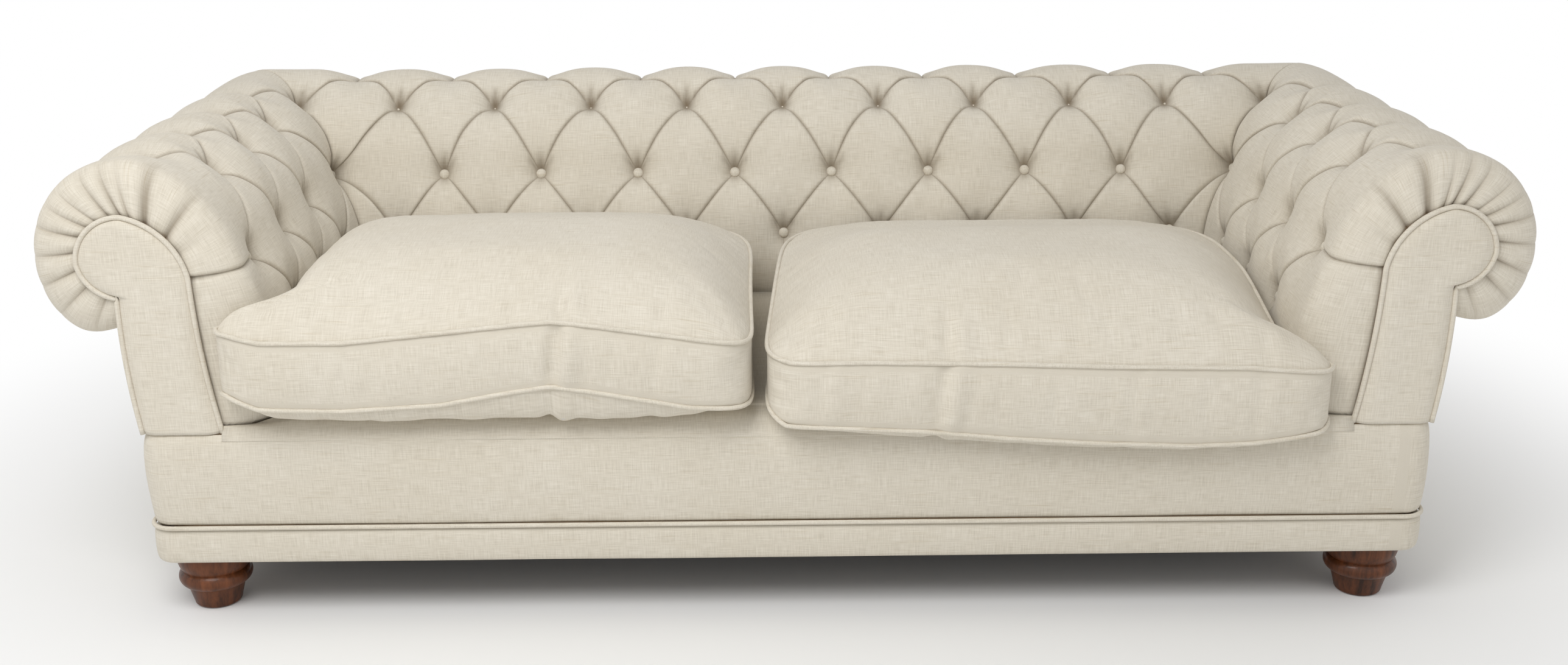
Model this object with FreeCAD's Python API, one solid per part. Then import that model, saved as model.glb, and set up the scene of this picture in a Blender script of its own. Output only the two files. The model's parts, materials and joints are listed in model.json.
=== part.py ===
"""Chesterfield sofa: hardwood frame, deep buttoned back and arms, loose seat cushions.

Millimetres, +Z up, +X to the right as seen from the front, +Y to the back.
Left and right are those of the viewer in front.
The origin is on the floor, under the middle of the whole sofa.
"""
import FreeCAD, Part
import math
import os
from FreeCAD import Vector

os.makedirs("parts", exist_ok=True)

# Overall sizes
overall_width = 2250.0
facing_to_rear = 1002.0
cushion_overhang = 48.0
fit_gap = 0.3
flat_bow = 0.05
sew_tolerance = 0.01

# Rolled top of the arms and back, which have one section all round
roll_radius = 140.0
roll_height = 575.0
roll_x = overall_width / 2 - roll_radius
roll_depth = facing_to_rear - roll_radius

# Button rows, from the crest down: how far inside the roll centre, and how far above it
row_reach = (6.0, 68.0, 136.0, 176.0)
row_rise = (115.0, 83.0, -28.0, -135.0)
row_lean = ((0.0, 1.0), (-0.6, 0.8), (-0.87, 0.5), (-0.95, 0.3))
back_pitch = 181.5
back_columns = 9
arm_pitch = 176.0
first_arm_button = 151.0
arm_columns = 3
tuft_crown = 44.0
skirt_crown = 22.0
skirt_least = 0.3
pleat_draw = 21.0
pleat_shares = (0.0, 0.35, 0.7, 1.0)
tuft_shares = (0.0, 0.25, 0.5, 0.75, 1.0)

# Section of the padding behind the buttons, measured from the roll centre
seat_line_reach = 186.0
roll_end_angle = -10.0
roll_end_radius = 134.0
roll_under = ((112.0, -78.0), (74.0, -102.0))
roll_tack_reach = 30.0
roll_tack_drop = 103.0

# Front end of each arm, measured from the facing and from the roll centre
roll_end_depth = 60.0
roll_end_middle = 30.0
roll_end_front_share = 0.62
roll_end_middle_share = 0.90
front_pleat_reach = 105.0
front_pleat_drop = 33.0
front_panel_start = 7.0
front_corner_shares = (0.0, 0.4, 0.75)
front_corner_fall = 1.6
facing_thickness = 14.0
facing_radius = 67.0
facing_notch_reach = 13.0
facing_notch_drop = 50.0
facing_shoulder_reach = 88.0
facing_shoulder_drop = 24.0
facing_foot_inner = 115.0
facing_foot_outer = 1.0
facing_side_bow = 5.0
facing_waist_share = 0.4
facing_brow_share = 0.5
scroll_board_thickness = 22.0
piping_radius = 3.5

# Base
base_bottom = 109.0
frame_bottom = 112.0
base_top = 306.0
base_inset = 2.0
base_front_corner = 60.0
base_rear_corner = 30.0
border_thickness = 10.0
band_height = 62.0
band_proud = 3.0
rail_thickness = 28.0
corner_block_size = 100.0
corner_block_height = 38.0
cross_rail_width = 60.0
cross_rail_height = 40.0
dust_cover_thickness = 1.0

# Upper frame, measured in from the roll centre
board_inner = 46.0
board_thickness = 38.0
board_top_rise = 25.0
board_drop = 120.0
lower_rail_height = 34.0
tuck_gap = 14.0
lining_thickness = 2.7
panel_thickness = 5.0
panel_flare = 17.0
panel_corner_gap = 8.0
stile_width = 70.0
stile_spacing = 620.0

# Seat suspension
spring_count = 10
spring_spacing = 150.0
spring_wire_radius = 1.9
spring_half_width = 22.0
spring_bars = 27
spring_end_inset = 20.0
clip_width = 20.0
clip_length = 14.0
clip_height = 6.0
hessian_thickness = 1.7
deck_thickness = 23.0
deck_nose_radius = 18.0
deck_gap = 6.0

# Loose cushions
left_side_gap = 25.0
right_side_gap = 28.0
cushion_split_x = -46.0
cushion_gap = 16.0
cushion_rear_gap = 36.0
cushion_ear = 42.0
cushion_ear_depth = 85.0
cushion_corner = 34.0
cushion_corner_fullness = 0.45
cushion_draw_in = 10.0
cushion_belly = 20.0
boxing_height = 108.0
boxing_swell = 6.0
seam_stand = 1.6
seam_cord_edge = 1.0
seam_cord_crest = 5.2
left_crown = 100.0
right_crown = 76.0
belly_foot = 70.0
belly_waist = 26.0
belly_waist_rise = 7.0
belly_slope = 2.0
crown_steps = ((0.0, 0.0), (0.55, 62.0), (0.87, 140.0), (1.0, 230.0))
cover_thickness = 2.0
fill_gap = 0.9

# How far the front of each seam stands above its rear: at the inner end, the middle and the outer end
left_lower_hang = (-3.0, 30.0, 13.0)
left_upper_hang = (-12.0, 27.0, 6.0)
right_lower_hang = (-23.0, -56.0, -48.0)
right_upper_hang = (-36.0, -46.0, -60.0)
lower_hang_depth = cushion_overhang
upper_hang_depth = 200.0

zip_length = 560.0
zip_width = 14.0
zip_slot_depth = 8.0
slider_length = 16.0
slider_height = 9.0
slider_thickness = 4.0
slider_rounding = 1.3

# Buttons
button_radius = 11.0
button_dome = 5.0
button_rim = 1.0
button_shank_radius = 1.0
button_clear = 0.6
button_stand = 3.5
fold_button_clear = (1.0, 1.2, 1.5)
fold_button_stand = (8.0, 10.0, 13.0)

# Turned feet
foot_inset = 64.0
foot_top_radius = 51.5
foot_bulb_radius = 58.0
foot_neck_radius = 51.0
foot_ring_radius = 57.0
foot_waist_radius = 45.0
foot_toe_radius = 37.0
foot_bulb_height = 90.0
foot_neck_height = 61.0
foot_ring_height = 48.0
foot_waist_height = 35.0
foot_toe_rounding = 6.0
bolt_radius = 4.0
bolt_depth = 40.0
bolt_clearance = 0.3
nut_barrel_radius = 5.5
nut_barrel_length = 20.0
nut_flange_radius = 12.0
nut_flange_thickness = 2.0

# Levels and places that follow from the sizes above
front_y = (cushion_overhang + seam_stand + seam_cord_crest - facing_to_rear) / 2
base_half_width = roll_x - base_inset
base_rear = roll_depth - base_inset
band_top = base_bottom + band_height
board_outer = board_inner - board_thickness
hessian_bottom = base_top + clip_height + fit_gap
deck_bottom = hessian_bottom + hessian_thickness + fit_gap
deck_top = deck_bottom + deck_thickness
pad_bottom = deck_bottom
cushion_bottom = deck_top + fit_gap
rail_outer_x = base_half_width - border_thickness - fit_gap
rail_inner_x = rail_outer_x - rail_thickness
front_rail_front = border_thickness + fit_gap
front_rail_back = front_rail_front + rail_thickness
back_rail_back = base_rear - border_thickness - fit_gap
back_rail_front = back_rail_back - rail_thickness
board_bottom = roll_height - board_drop
board_top = roll_height + board_top_rise
board_inner_x = roll_x - board_inner
board_outer_x = roll_x - board_outer
board_inner_depth = roll_depth - board_inner
board_outer_depth = roll_depth - board_outer
scroll_board_front = facing_thickness + fit_gap
scroll_board_back = scroll_board_front + scroll_board_thickness
seat_half = roll_x - seat_line_reach
deck_half = seat_half - skirt_crown - deck_gap
deck_rear = roll_depth - seat_line_reach - skirt_crown - deck_gap
left_cushion_width = seat_half - left_side_gap + cushion_split_x - cushion_gap / 2
right_cushion_width = seat_half - right_side_gap - cushion_split_x - cushion_gap / 2
cushion_rear = roll_depth - seat_line_reach - cushion_rear_gap
lining_front = board_inner + lining_thickness
panel_top = roll_height - roll_tack_drop - fit_gap

ARM = 0
BACK = 1

# Columns of buttons: half a pitch apart in one row and the next
back_reach = (back_columns - 1) // 2
back_full = [k * back_pitch for k in range(-back_reach, back_reach + 1)]
back_half = [(k + 0.5) * back_pitch for k in range(-back_reach - 1, back_reach + 1)]
arm_even = [first_arm_button + k * arm_pitch for k in range(arm_columns + 1)]
arm_odd = [first_arm_button + (k + 0.5) * arm_pitch for k in range(arm_columns)]


def save(name, shape):
    shape.exportStep("parts/" + name + ".step")
    print(name, len(shape.Solids), "solid(s)", round(shape.Volume / 1000.0, 1), "cm3", shape.isValid())


def save_pair(name, shape):
    """A piece of the right arm, and its mirror image on the left arm."""
    save("right_" + name, shape)
    save("left_" + name, mirrored(shape))


def mirrored(shape):
    return shape.mirror(Vector(0, 0, 0), Vector(1, 0, 0))


def at_depth(depth):
    """Y of a point that lies this far behind the arm facings."""
    return front_y + depth


def block(x_range, depth_range, z_range):
    size = [high - low for low, high in (x_range, depth_range, z_range)]
    return Part.makeBox(*size, Vector(x_range[0], at_depth(depth_range[0]), z_range[0]))


def on_pad(pad, along, offset, height):
    """A point of the arm or back: along its run, out from the roll centre, up from the floor."""
    if pad == ARM:
        return Vector(roll_x + offset, at_depth(along), height)
    return Vector(along, at_depth(roll_depth + offset), height)


def between(start, end, share):
    return start + (end - start) * share


def bowed_edge(start, middle, end):
    """An arc through three points, or a line where they lie in a row."""
    if middle.distanceToLine(start, end - start) < flat_bow:
        return Part.makeLine(start, end)
    return Part.Arc(start, middle, end).toShape()


def loft_faces(edges):
    return Part.makeLoft([Part.Wire([edge]) for edge in edges], False, False).Faces


def flat_face(points):
    return Part.Face(Part.makePolygon(points + [points[0]]))


# Rows and pad section

def row_point(pad, row, along):
    return on_pad(pad, along, -row_reach[row], roll_height + row_rise[row])


def mitre(offset, pad):
    """Where the 45 degree corner plane lies along the run of a pad."""
    return (roll_depth if pad == ARM else roll_x) + offset


def roll_point(pad, along, angle, radius):
    turn = math.radians(angle)
    return on_pad(pad, along, radius * math.cos(turn), roll_height + radius * math.sin(turn))


def angle_of(offset, rise):
    """Angle about the roll centre, from 0 at its outer side over the top to 360."""
    return math.degrees(math.atan2(rise, offset)) % 360.0


roll_end = (roll_end_radius * math.cos(math.radians(roll_end_angle)),
            roll_end_radius * math.sin(math.radians(roll_end_angle)))
hidden_side = [roll_end]
hidden_side += roll_under
hidden_side += [(roll_tack_reach, -roll_tack_drop),
                (-board_outer + fit_gap, -roll_tack_drop),
                (-board_outer + fit_gap, board_top_rise + fit_gap),
                (-lining_front - fit_gap, board_top_rise + fit_gap),
                (-lining_front - fit_gap, pad_bottom - roll_height),
                (-seat_line_reach, pad_bottom - roll_height)]


def tuft(top, left, bottom, right, outward):
    """One diamond pillow between four buttons, with a straight pleat on each side."""
    normal = (bottom - top).cross(right - left).normalize()
    if normal.dot(outward) < 0:
        normal = normal * -1
    edges = []
    for share in tuft_shares:
        start = between(top, right, share)
        end = between(left, bottom, share)
        swell = tuft_crown * 4 * share * (1 - share)
        edges.append(bowed_edge(start, between(start, end, 0.5) + normal * swell, end))
    return loft_faces(edges)


def crest_points(pad, share, pleat, along_of):
    """Start, middle and end of one arc over the roll, from the pleat (0) to the next button (1)."""
    offset = -row_reach[0] + (row_reach[0] - row_reach[1]) * share
    rise = row_rise[0] + (row_rise[1] - row_rise[0]) * share
    start_angle = angle_of(offset, rise)
    radius = roll_radius - pleat_draw * (1 - math.sin(share * math.pi / 2))
    angle = (start_angle + roll_end_angle) / 2
    turn = math.radians(angle)
    full_angle = (angle_of(-row_reach[1], row_rise[1]) + roll_end_angle) / 2
    full_offset = roll_radius * math.cos(math.radians(full_angle))
    start = on_pad(pad, pleat + (along_of(-row_reach[1]) - pleat) * share, offset, roll_height + rise)
    middle = on_pad(pad, pleat + (along_of(full_offset) - pleat) * share,
                    radius * math.cos(turn), roll_height + radius * math.sin(turn))
    end = on_pad(pad, pleat + (along_of(roll_end[0]) - pleat) * share,
                 roll_end[0], roll_height + roll_end[1])
    return start, middle, end


def crest_half(pad, pleat, along_of):
    return loft_faces([bowed_edge(*crest_points(pad, share, pleat, along_of)) for share in pleat_shares])


def skirt_points(pad, share, pleat, along_of):
    """Start, middle and end of one line down to the seat, from a lowest button (0) to a row above (1)."""
    offset = -row_reach[3] + (row_reach[3] - row_reach[2]) * share
    rise = row_rise[3] + (row_rise[2] - row_rise[3]) * share
    seat_rise = pad_bottom - roll_height
    swell = skirt_crown * (skirt_least + (1 - skirt_least) * math.sin(share * math.pi / 2))
    full_offset = (-row_reach[2] - seat_line_reach) / 2 - skirt_crown
    start = on_pad(pad, pleat + (along_of(-row_reach[2]) - pleat) * share, offset, roll_height + rise)
    middle = on_pad(pad, pleat + (along_of(full_offset) - pleat) * share,
                    (offset - seat_line_reach) / 2 - swell, roll_height + (rise + seat_rise) / 2)
    end = on_pad(pad, pleat + (along_of(-seat_line_reach) - pleat) * share, -seat_line_reach, pad_bottom)
    return start, middle, end


def skirt_half(pad, pleat, along_of):
    return loft_faces([bowed_edge(*skirt_points(pad, share, pleat, along_of)) for share in pleat_shares])


def closed_solid(faces):
    """Faces that meet edge to edge all round, sewn into one solid."""
    shell = Part.makeShell(faces)
    shell.sewShape(sew_tolerance)
    solid = Part.makeSolid(shell)
    if solid.Volume < 0:
        solid.reverse()
    return solid


def hidden_faces(pad, near_end, far_end, crest_stops, skirt_stops):
    """Flat faces under the roll, round the frame board and down the lining.

    near_end and far_end give the place along the run for an offset. The stops are the extra
    corners that the crest and the skirt need on their shared edges.
    """
    faces = []
    last = len(hidden_side) - 1
    for index in range(last):
        (offset, rise), (next_offset, next_rise) = hidden_side[index], hidden_side[index + 1]
        first = [on_pad(pad, along, offset, roll_height + rise)
                 for along in (near_end(offset), far_end(offset))]
        second = [on_pad(pad, along, next_offset, roll_height + next_rise)
                  for along in (far_end(next_offset), near_end(next_offset))]
        if index == 0:
            first[1:1] = [on_pad(pad, along, offset, roll_height + rise) for along in crest_stops]
        if index == last - 1:
            second[1:1] = [on_pad(pad, along, next_offset, roll_height + next_rise)
                           for along in reversed(skirt_stops)]
        faces.append(flat_face(first + second))
    return faces


def hidden_edges(pad, along_of):
    points = [on_pad(pad, along_of(offset), offset, roll_height + rise) for offset, rise in hidden_side]
    return [Part.makeLine(points[i], points[i + 1]) for i in range(len(points) - 1)]


def mitre_face(pad, along_of):
    """The flat end of a pad in the corner, where arm and back meet."""
    edges = hidden_edges(pad, along_of)
    edges.append(bowed_edge(*crest_points(pad, 1.0, 0.0, along_of)))
    edges.append(bowed_edge(*skirt_points(pad, 1.0, 0.0, along_of)))
    upper = row_point(pad, 1, along_of(-row_reach[1]))
    edges.append(Part.makeLine(upper, row_point(pad, 2, along_of(-row_reach[2]))))
    return Part.Face(Part.Wire(Part.__sortEdges__(edges)))


# Back pad

back_outward = Vector(0, -1, 0.5)


def back_right(offset):
    return mitre(offset, BACK)


def back_left(offset):
    return -mitre(offset, BACK)


def fixed(along):
    """One place along the run for every offset, as at a square end or under a button."""
    def along_of(offset):
        return along
    return along_of


def back_pad():
    left_corner = [row_point(BACK, row, back_left(-row_reach[row])) for row in range(4)]
    right_corner = [row_point(BACK, row, back_right(-row_reach[row])) for row in range(4)]
    row_1 = [left_corner[1]] + [row_point(BACK, 1, x) for x in back_full] + [right_corner[1]]
    row_2 = [left_corner[2]] + [row_point(BACK, 2, x) for x in back_half[1:-1]] + [right_corner[2]]
    faces = []
    for index, x in enumerate(back_half):
        faces += tuft(row_point(BACK, 0, x), row_1[index], row_2[index], row_1[index + 1], back_outward)
    for index, x in enumerate(back_full):
        faces += tuft(row_1[index + 1], row_2[index], row_point(BACK, 3, x), row_2[index + 1], back_outward)
    for x in back_full:
        faces += crest_half(BACK, x - back_pitch / 2, fixed(x))
        faces += crest_half(BACK, x + back_pitch / 2, fixed(x))
    for x in back_half[1:-1]:
        faces += skirt_half(BACK, x - back_pitch / 2, fixed(x))
        faces += skirt_half(BACK, x + back_pitch / 2, fixed(x))
    for corner, sign in ((back_left, -1), (back_right, 1)):
        faces += crest_half(BACK, sign * back_half[-1], corner)
        faces += skirt_half(BACK, sign * back_full[-1], corner)
        faces.append(mitre_face(BACK, corner))
    crest_stops = sorted(back_full + back_half)
    skirt_stops = sorted(back_full + back_half[1:-1])
    faces += hidden_faces(BACK, back_left, back_right, crest_stops, skirt_stops)
    return closed_solid(faces)


# Arm pad

arm_outward = Vector(-1, 0, 0.5)
front_pleat = (-front_pleat_reach, -front_pleat_drop)


def arm_rear(offset):
    return mitre(offset, ARM)


def front_sections(share):
    """Edges of one slice of the smooth arm front, from its front end (0) to the first buttons (1)."""
    along = roll_end_depth + (first_arm_button - roll_end_depth) * share
    low_offset = front_pleat[0] + (-row_reach[2] - front_pleat[0]) * share
    low_rise = front_pleat[1] + (row_rise[2] - front_pleat[1]) * share
    top_offset = -row_reach[0] * share
    top_rise = roll_radius + (row_rise[0] - roll_radius) * share
    low = on_pad(ARM, along, low_offset, roll_height + low_rise)
    top = on_pad(ARM, along, top_offset, roll_height + top_rise)
    low_angle = angle_of(low_offset, low_rise)
    top_angle = angle_of(top_offset, top_rise)
    inner = bowed_edge(low, roll_point(ARM, along, (low_angle + top_angle) / 2, roll_radius), top)
    end = on_pad(ARM, along, roll_end[0], roll_height + roll_end[1])
    outer_radius = roll_radius - pleat_draw * share
    outer = bowed_edge(top, roll_point(ARM, along, (top_angle + roll_end_angle) / 2, outer_radius), end)
    seat = on_pad(ARM, along, -seat_line_reach, pad_bottom)
    belly = between(low, seat, 0.5) + Vector(-skirt_crown, 0, 0)
    return inner, outer, bowed_edge(low, belly, seat)


def arm_pad():
    corner = [row_point(ARM, row, arm_rear(-row_reach[row])) for row in range(4)]
    row_1 = [row_point(ARM, 1, y) for y in arm_odd] + [corner[1]]
    row_2 = [row_point(ARM, 2, y) for y in arm_even[:-1]] + [corner[2]]
    faces = []
    for index in range(1, arm_columns + 1):
        top = row_point(ARM, 0, arm_even[index])
        faces += tuft(top, row_1[index - 1], row_2[index], row_1[index], arm_outward)
    for index, y in enumerate(arm_odd):
        faces += tuft(row_1[index], row_2[index], row_point(ARM, 3, y), row_2[index + 1], arm_outward)
    for y in arm_odd:
        faces += crest_half(ARM, y - arm_pitch / 2, fixed(y))
        faces += crest_half(ARM, y + arm_pitch / 2, fixed(y))
    faces += crest_half(ARM, arm_even[-1], arm_rear)
    for y in arm_even[:-1]:
        faces += skirt_half(ARM, y + arm_pitch / 2, fixed(y))
    for y in arm_even[1:-1]:
        faces += skirt_half(ARM, y - arm_pitch / 2, fixed(y))
    faces += skirt_half(ARM, arm_odd[-1], arm_rear)
    faces.append(mitre_face(ARM, arm_rear))
    slices = [front_sections(share) for share in (0.0, 0.5, 1.0)]
    for strip in range(3):
        faces += loft_faces([edges[strip] for edges in slices])
    faces += front_corner(row_2[0], row_point(ARM, 0, arm_even[0]), row_1[0])
    end_edges = list(slices[0]) + hidden_edges(ARM, fixed(roll_end_depth))
    faces.append(Part.Face(Part.Wire(Part.__sortEdges__(end_edges))))
    crest_stops = sorted(arm_even + arm_odd)
    skirt_stops = sorted(arm_even[:-1] + arm_odd)
    faces += hidden_faces(ARM, fixed(roll_end_depth), arm_rear, crest_stops, skirt_stops)
    return closed_solid(faces)


def front_corner(low, top, tip):
    """The rear corner of the smooth arm front, drawn in to the first button of row 1."""
    along = first_arm_button
    low_angle = angle_of(-row_reach[2], row_rise[2])
    top_angle = angle_of(-row_reach[0], row_rise[0])
    crown = roll_point(ARM, along, (low_angle + top_angle) / 2, roll_radius)
    push = crown - between(low, top, 0.5)
    sections = []
    for share in front_corner_shares:
        start = between(low, tip, share)
        end = between(top, tip, share)
        middle = between(start, end, 0.5) + push * (1 - share ** front_corner_fall)
        sections.append(Part.Wire([bowed_edge(start, middle, end)]))
    sections.append(Part.Vertex(tip))
    return Part.makeLoft(sections, False, False).Faces


# Front end of the arms

def scroll_outline(depth, bottom):
    """The scroll shape of an arm front, as a closed wire."""
    def spot(reach, rise):
        return Vector(roll_x + reach, at_depth(depth), roll_height + rise)
    slant = math.sqrt(0.5)
    foot = bottom - roll_height
    top = spot(0, facing_radius)
    outer = spot(facing_radius, 0)
    notch = spot(facing_notch_reach, -facing_notch_drop)
    outer_foot = spot(-facing_foot_outer, foot)
    inner_foot = spot(-facing_foot_inner, foot)
    shoulder = spot(-facing_shoulder_reach, -facing_shoulder_drop)
    curl = spot(facing_radius * slant, -facing_notch_drop * slant)
    outer_side = between(notch, outer_foot, 0.5) + Vector(facing_side_bow, 0, 0)
    inner_side = between(shoulder, inner_foot, facing_waist_share) + Vector(facing_side_bow, 0, 0)
    brow = spot(-facing_shoulder_reach * facing_brow_share, facing_radius * slant)
    edges = [bowed_edge(top, spot(facing_radius * slant, facing_radius * slant), outer),
             bowed_edge(outer, curl, notch),
             bowed_edge(notch, outer_side, outer_foot),
             Part.makeLine(outer_foot, inner_foot),
             bowed_edge(inner_foot, inner_side, shoulder),
             bowed_edge(shoulder, brow, top)]
    return Part.Wire(edges)


def scroll_prism(depth, thickness, bottom, grow=0.0):
    outline = scroll_outline(depth, bottom)
    if grow:
        outline = outline.makeOffset2D(grow)
    return Part.Face(outline).extrude(Vector(0, thickness, 0))


def facing_piping():
    """A cord round the facing, open along the bottom, where the facing stands on the border."""
    front = (facing_thickness - 2 * piping_radius) / 2
    outer = scroll_prism(front, 2 * piping_radius, base_top, fit_gap + 2 * piping_radius)
    inner = scroll_prism(front, 2 * piping_radius, base_top, fit_gap)
    floor = block((0, overall_width), (-roll_end_depth, roll_end_depth), (0, base_top + fit_gap))
    return outer.cut(inner).cut(floor)


def tube(path, radius):
    """A round cord or wire along a path, square to it at its start."""
    first = path.OrderedEdges[0]
    start = path.OrderedVertexes[0].Point
    at_start = first.valueAt(first.FirstParameter).distanceToPoint(start) < radius
    heading = first.tangentAt(first.FirstParameter if at_start else first.LastParameter)
    ring = Part.Wire([Part.makeCircle(radius, start, heading)])
    return path.makePipeShell([ring], True, False, 1)


def roll_end_wire(depth, share):
    """Section of the gathered roll end, drawn in towards the roll centre by a share."""
    def spot(reach, rise):
        return Vector(roll_x + reach * share, at_depth(depth), roll_height + rise * share)
    def on_roll(angle):
        turn = math.radians(angle)
        return spot(roll_radius * math.cos(turn), roll_radius * math.sin(turn))
    low = spot(*front_pleat)
    top = spot(0, roll_radius)
    end = spot(*roll_end)
    corners = [end] + [spot(*corner) for corner in roll_under]
    corners += [spot(roll_tack_reach, -roll_tack_drop), low]
    edges = [bowed_edge(low, on_roll((angle_of(*front_pleat) + 90.0) / 2), top),
             bowed_edge(top, on_roll((90.0 + roll_end_angle) / 2), end)]
    edges += [Part.makeLine(corners[i], corners[i + 1]) for i in range(len(corners) - 1)]
    return Part.Wire(edges)


def arm_roll_end():
    """The padded ring round the facing, gathered at the front of the arm's roll."""
    slices = ((scroll_board_front, roll_end_front_share), (roll_end_middle, roll_end_middle_share),
              (roll_end_depth - fit_gap, 1.0))
    ring = Part.makeLoft([roll_end_wire(depth, share) for depth, share in slices], True, False)
    return ring.cut(scroll_prism(0, roll_end_depth, base_top, fit_gap))


def arm_front_panel():
    """The smooth panel below the front pleat, from the facing back to the buttoned padding."""
    low = base_top + fit_gap
    high = roll_height - front_pleat_drop
    hidden = [(front_panel_start - facing_shoulder_reach, high),
              (front_panel_start - facing_foot_inner, low)]

    def panel_wire(depth, foot_reach, pleat_reach, crown):
        spots = [(-foot_reach, low), (-pleat_reach, high)] + hidden
        points = [on_pad(ARM, depth, offset, height) for offset, height in spots]
        belly = between(points[0], points[1], 0.5) + Vector(-crown, 0, 0)
        edges = [bowed_edge(points[0], belly, points[1])]
        edges += [Part.makeLine(points[i], points[(i + 1) % 4]) for i in (1, 2, 3)]
        return Part.Wire(edges)

    front = panel_wire(scroll_board_front, facing_foot_inner + front_panel_start,
                       facing_shoulder_reach + front_panel_start, front_panel_start)
    rear = panel_wire(roll_end_depth - fit_gap, seat_line_reach, front_pleat_reach, skirt_crown)
    panel = Part.makeLoft([front, rear], True, True)
    return panel.cut(scroll_prism(0, roll_end_depth, base_top, fit_gap)).cut(arm_roll_end())


# Frame

def base_outline(grow, level):
    """The plan of the base, wider by grow all round, with rounded corners."""
    half = base_half_width + grow
    near = at_depth(-grow)
    far = at_depth(base_rear + grow)
    corners = [(half, near, 270, base_front_corner), (half, far, 0, base_rear_corner),
               (-half, far, 90, base_rear_corner), (-half, near, 180, base_front_corner)]
    arcs = []
    for x, y, angle, radius in corners:
        bend = radius + grow
        centre = Vector(x - math.copysign(bend, x), y + (bend if y == near else -bend), level)
        arcs.append(Part.makeCircle(bend, centre, Vector(0, 0, 1), angle, angle + 90))
    edges = []
    for index, arc in enumerate(arcs):
        following = arcs[(index + 1) % len(arcs)]
        edges.append(arc)
        leaving = arc.valueAt(arc.LastParameter)
        edges.append(Part.makeLine(leaving, following.valueAt(following.FirstParameter)))
    return Part.Wire(edges)


def base_prism(grow, z_range):
    return Part.Face(base_outline(grow, z_range[0])).extrude(Vector(0, 0, z_range[1] - z_range[0]))


def base_ring(inner, outer, z_range):
    return base_prism(outer, z_range).cut(base_prism(inner, z_range))


def band_piping():
    spread = piping_radius + fit_gap
    return tube(base_outline(spread, band_top + spread), piping_radius)


def seat_rails():
    inside = base_prism(-border_thickness - fit_gap, (frame_bottom, base_top))
    wide = (-rail_outer_x, rail_outer_x)
    tall = (frame_bottom, base_top)
    save("front_seat_rail", inside.common(block(wide, (front_rail_front, front_rail_back), tall)))
    save("back_seat_rail", inside.common(block(wide, (back_rail_front, back_rail_back), tall)))
    side = block((rail_inner_x, rail_outer_x), (front_rail_back, back_rail_front), tall)
    save_pair("seat_rail", inside.common(side))
    half = cross_rail_width / 2
    save("centre_cross_rail", block((-half, half), (front_rail_back, back_rail_front),
                                    (frame_bottom, frame_bottom + cross_rail_height)))


def foot_places():
    x = base_half_width - foot_inset
    return [("front_left", -x, foot_inset), ("front_right", x, foot_inset),
            ("rear_left", -x, base_rear - foot_inset), ("rear_right", x, base_rear - foot_inset)]


def rod(x, depth, radius, z_range):
    return Part.makeCylinder(radius, z_range[1] - z_range[0], Vector(x, at_depth(depth), z_range[0]))


def turned_foot(x, depth):
    def spot(radius, height):
        return Vector(x + radius, at_depth(depth), height)
    toe = foot_toe_radius
    rounding = foot_toe_rounding
    nip = rounding * (1 - math.sqrt(0.5))
    edges = [Part.makeLine(spot(0, 0), spot(toe - rounding, 0)),
             bowed_edge(spot(toe - rounding, 0), spot(toe - nip, nip), spot(toe, rounding)),
             Part.makeLine(spot(toe, rounding), spot(foot_waist_radius, foot_waist_height)),
             bowed_edge(spot(foot_waist_radius, foot_waist_height),
                        spot(foot_ring_radius, foot_ring_height),
                        spot(foot_neck_radius, foot_neck_height)),
             bowed_edge(spot(foot_neck_radius, foot_neck_height),
                        spot(foot_bulb_radius, foot_bulb_height),
                        spot(foot_top_radius, frame_bottom)),
             Part.makeLine(spot(foot_top_radius, frame_bottom), spot(0, frame_bottom)),
             Part.makeLine(spot(0, frame_bottom), spot(0, 0))]
    body = Part.Face(Part.Wire(edges)).revolve(Vector(x, at_depth(depth), 0), Vector(0, 0, 1), 360)
    return body.cut(rod(x, depth, bolt_radius + bolt_clearance, (frame_bottom - bolt_depth, frame_bottom)))


def feet_and_blocks():
    blocks = []
    bolts = []
    nuts = []
    block_top = frame_bottom + corner_block_height
    for name, x, depth in foot_places():
        save(name + "_foot", turned_foot(x, depth))
        bolts.append(rod(x, depth, bolt_radius, (frame_bottom - bolt_depth, block_top)))
        bore = rod(x, depth, bolt_radius + bolt_clearance, (frame_bottom, block_top + nut_flange_thickness))
        barrel = rod(x, depth, nut_barrel_radius, (block_top - nut_barrel_length, block_top))
        flange = rod(x, depth, nut_flange_radius, (block_top, block_top + nut_flange_thickness))
        nuts.append(barrel.fuse(flange).cut(bore))
        socket = rod(x, depth, nut_barrel_radius + bolt_clearance, (block_top - nut_barrel_length, block_top))
        x_range = (rail_inner_x - corner_block_size, rail_inner_x)
        if x < 0:
            x_range = (-rail_inner_x, corner_block_size - rail_inner_x)
        depth_range = (front_rail_back, front_rail_back + corner_block_size)
        if depth > base_rear / 2:
            depth_range = (back_rail_front - corner_block_size, back_rail_front)
        blocks.append(block(x_range, depth_range, (frame_bottom, block_top)).cut(socket).cut(bore))
    save("corner_blocks", Part.makeCompound(blocks))
    save("foot_hanger_bolts", Part.makeCompound(bolts))
    save("foot_t_nuts", Part.makeCompound(nuts))


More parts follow.
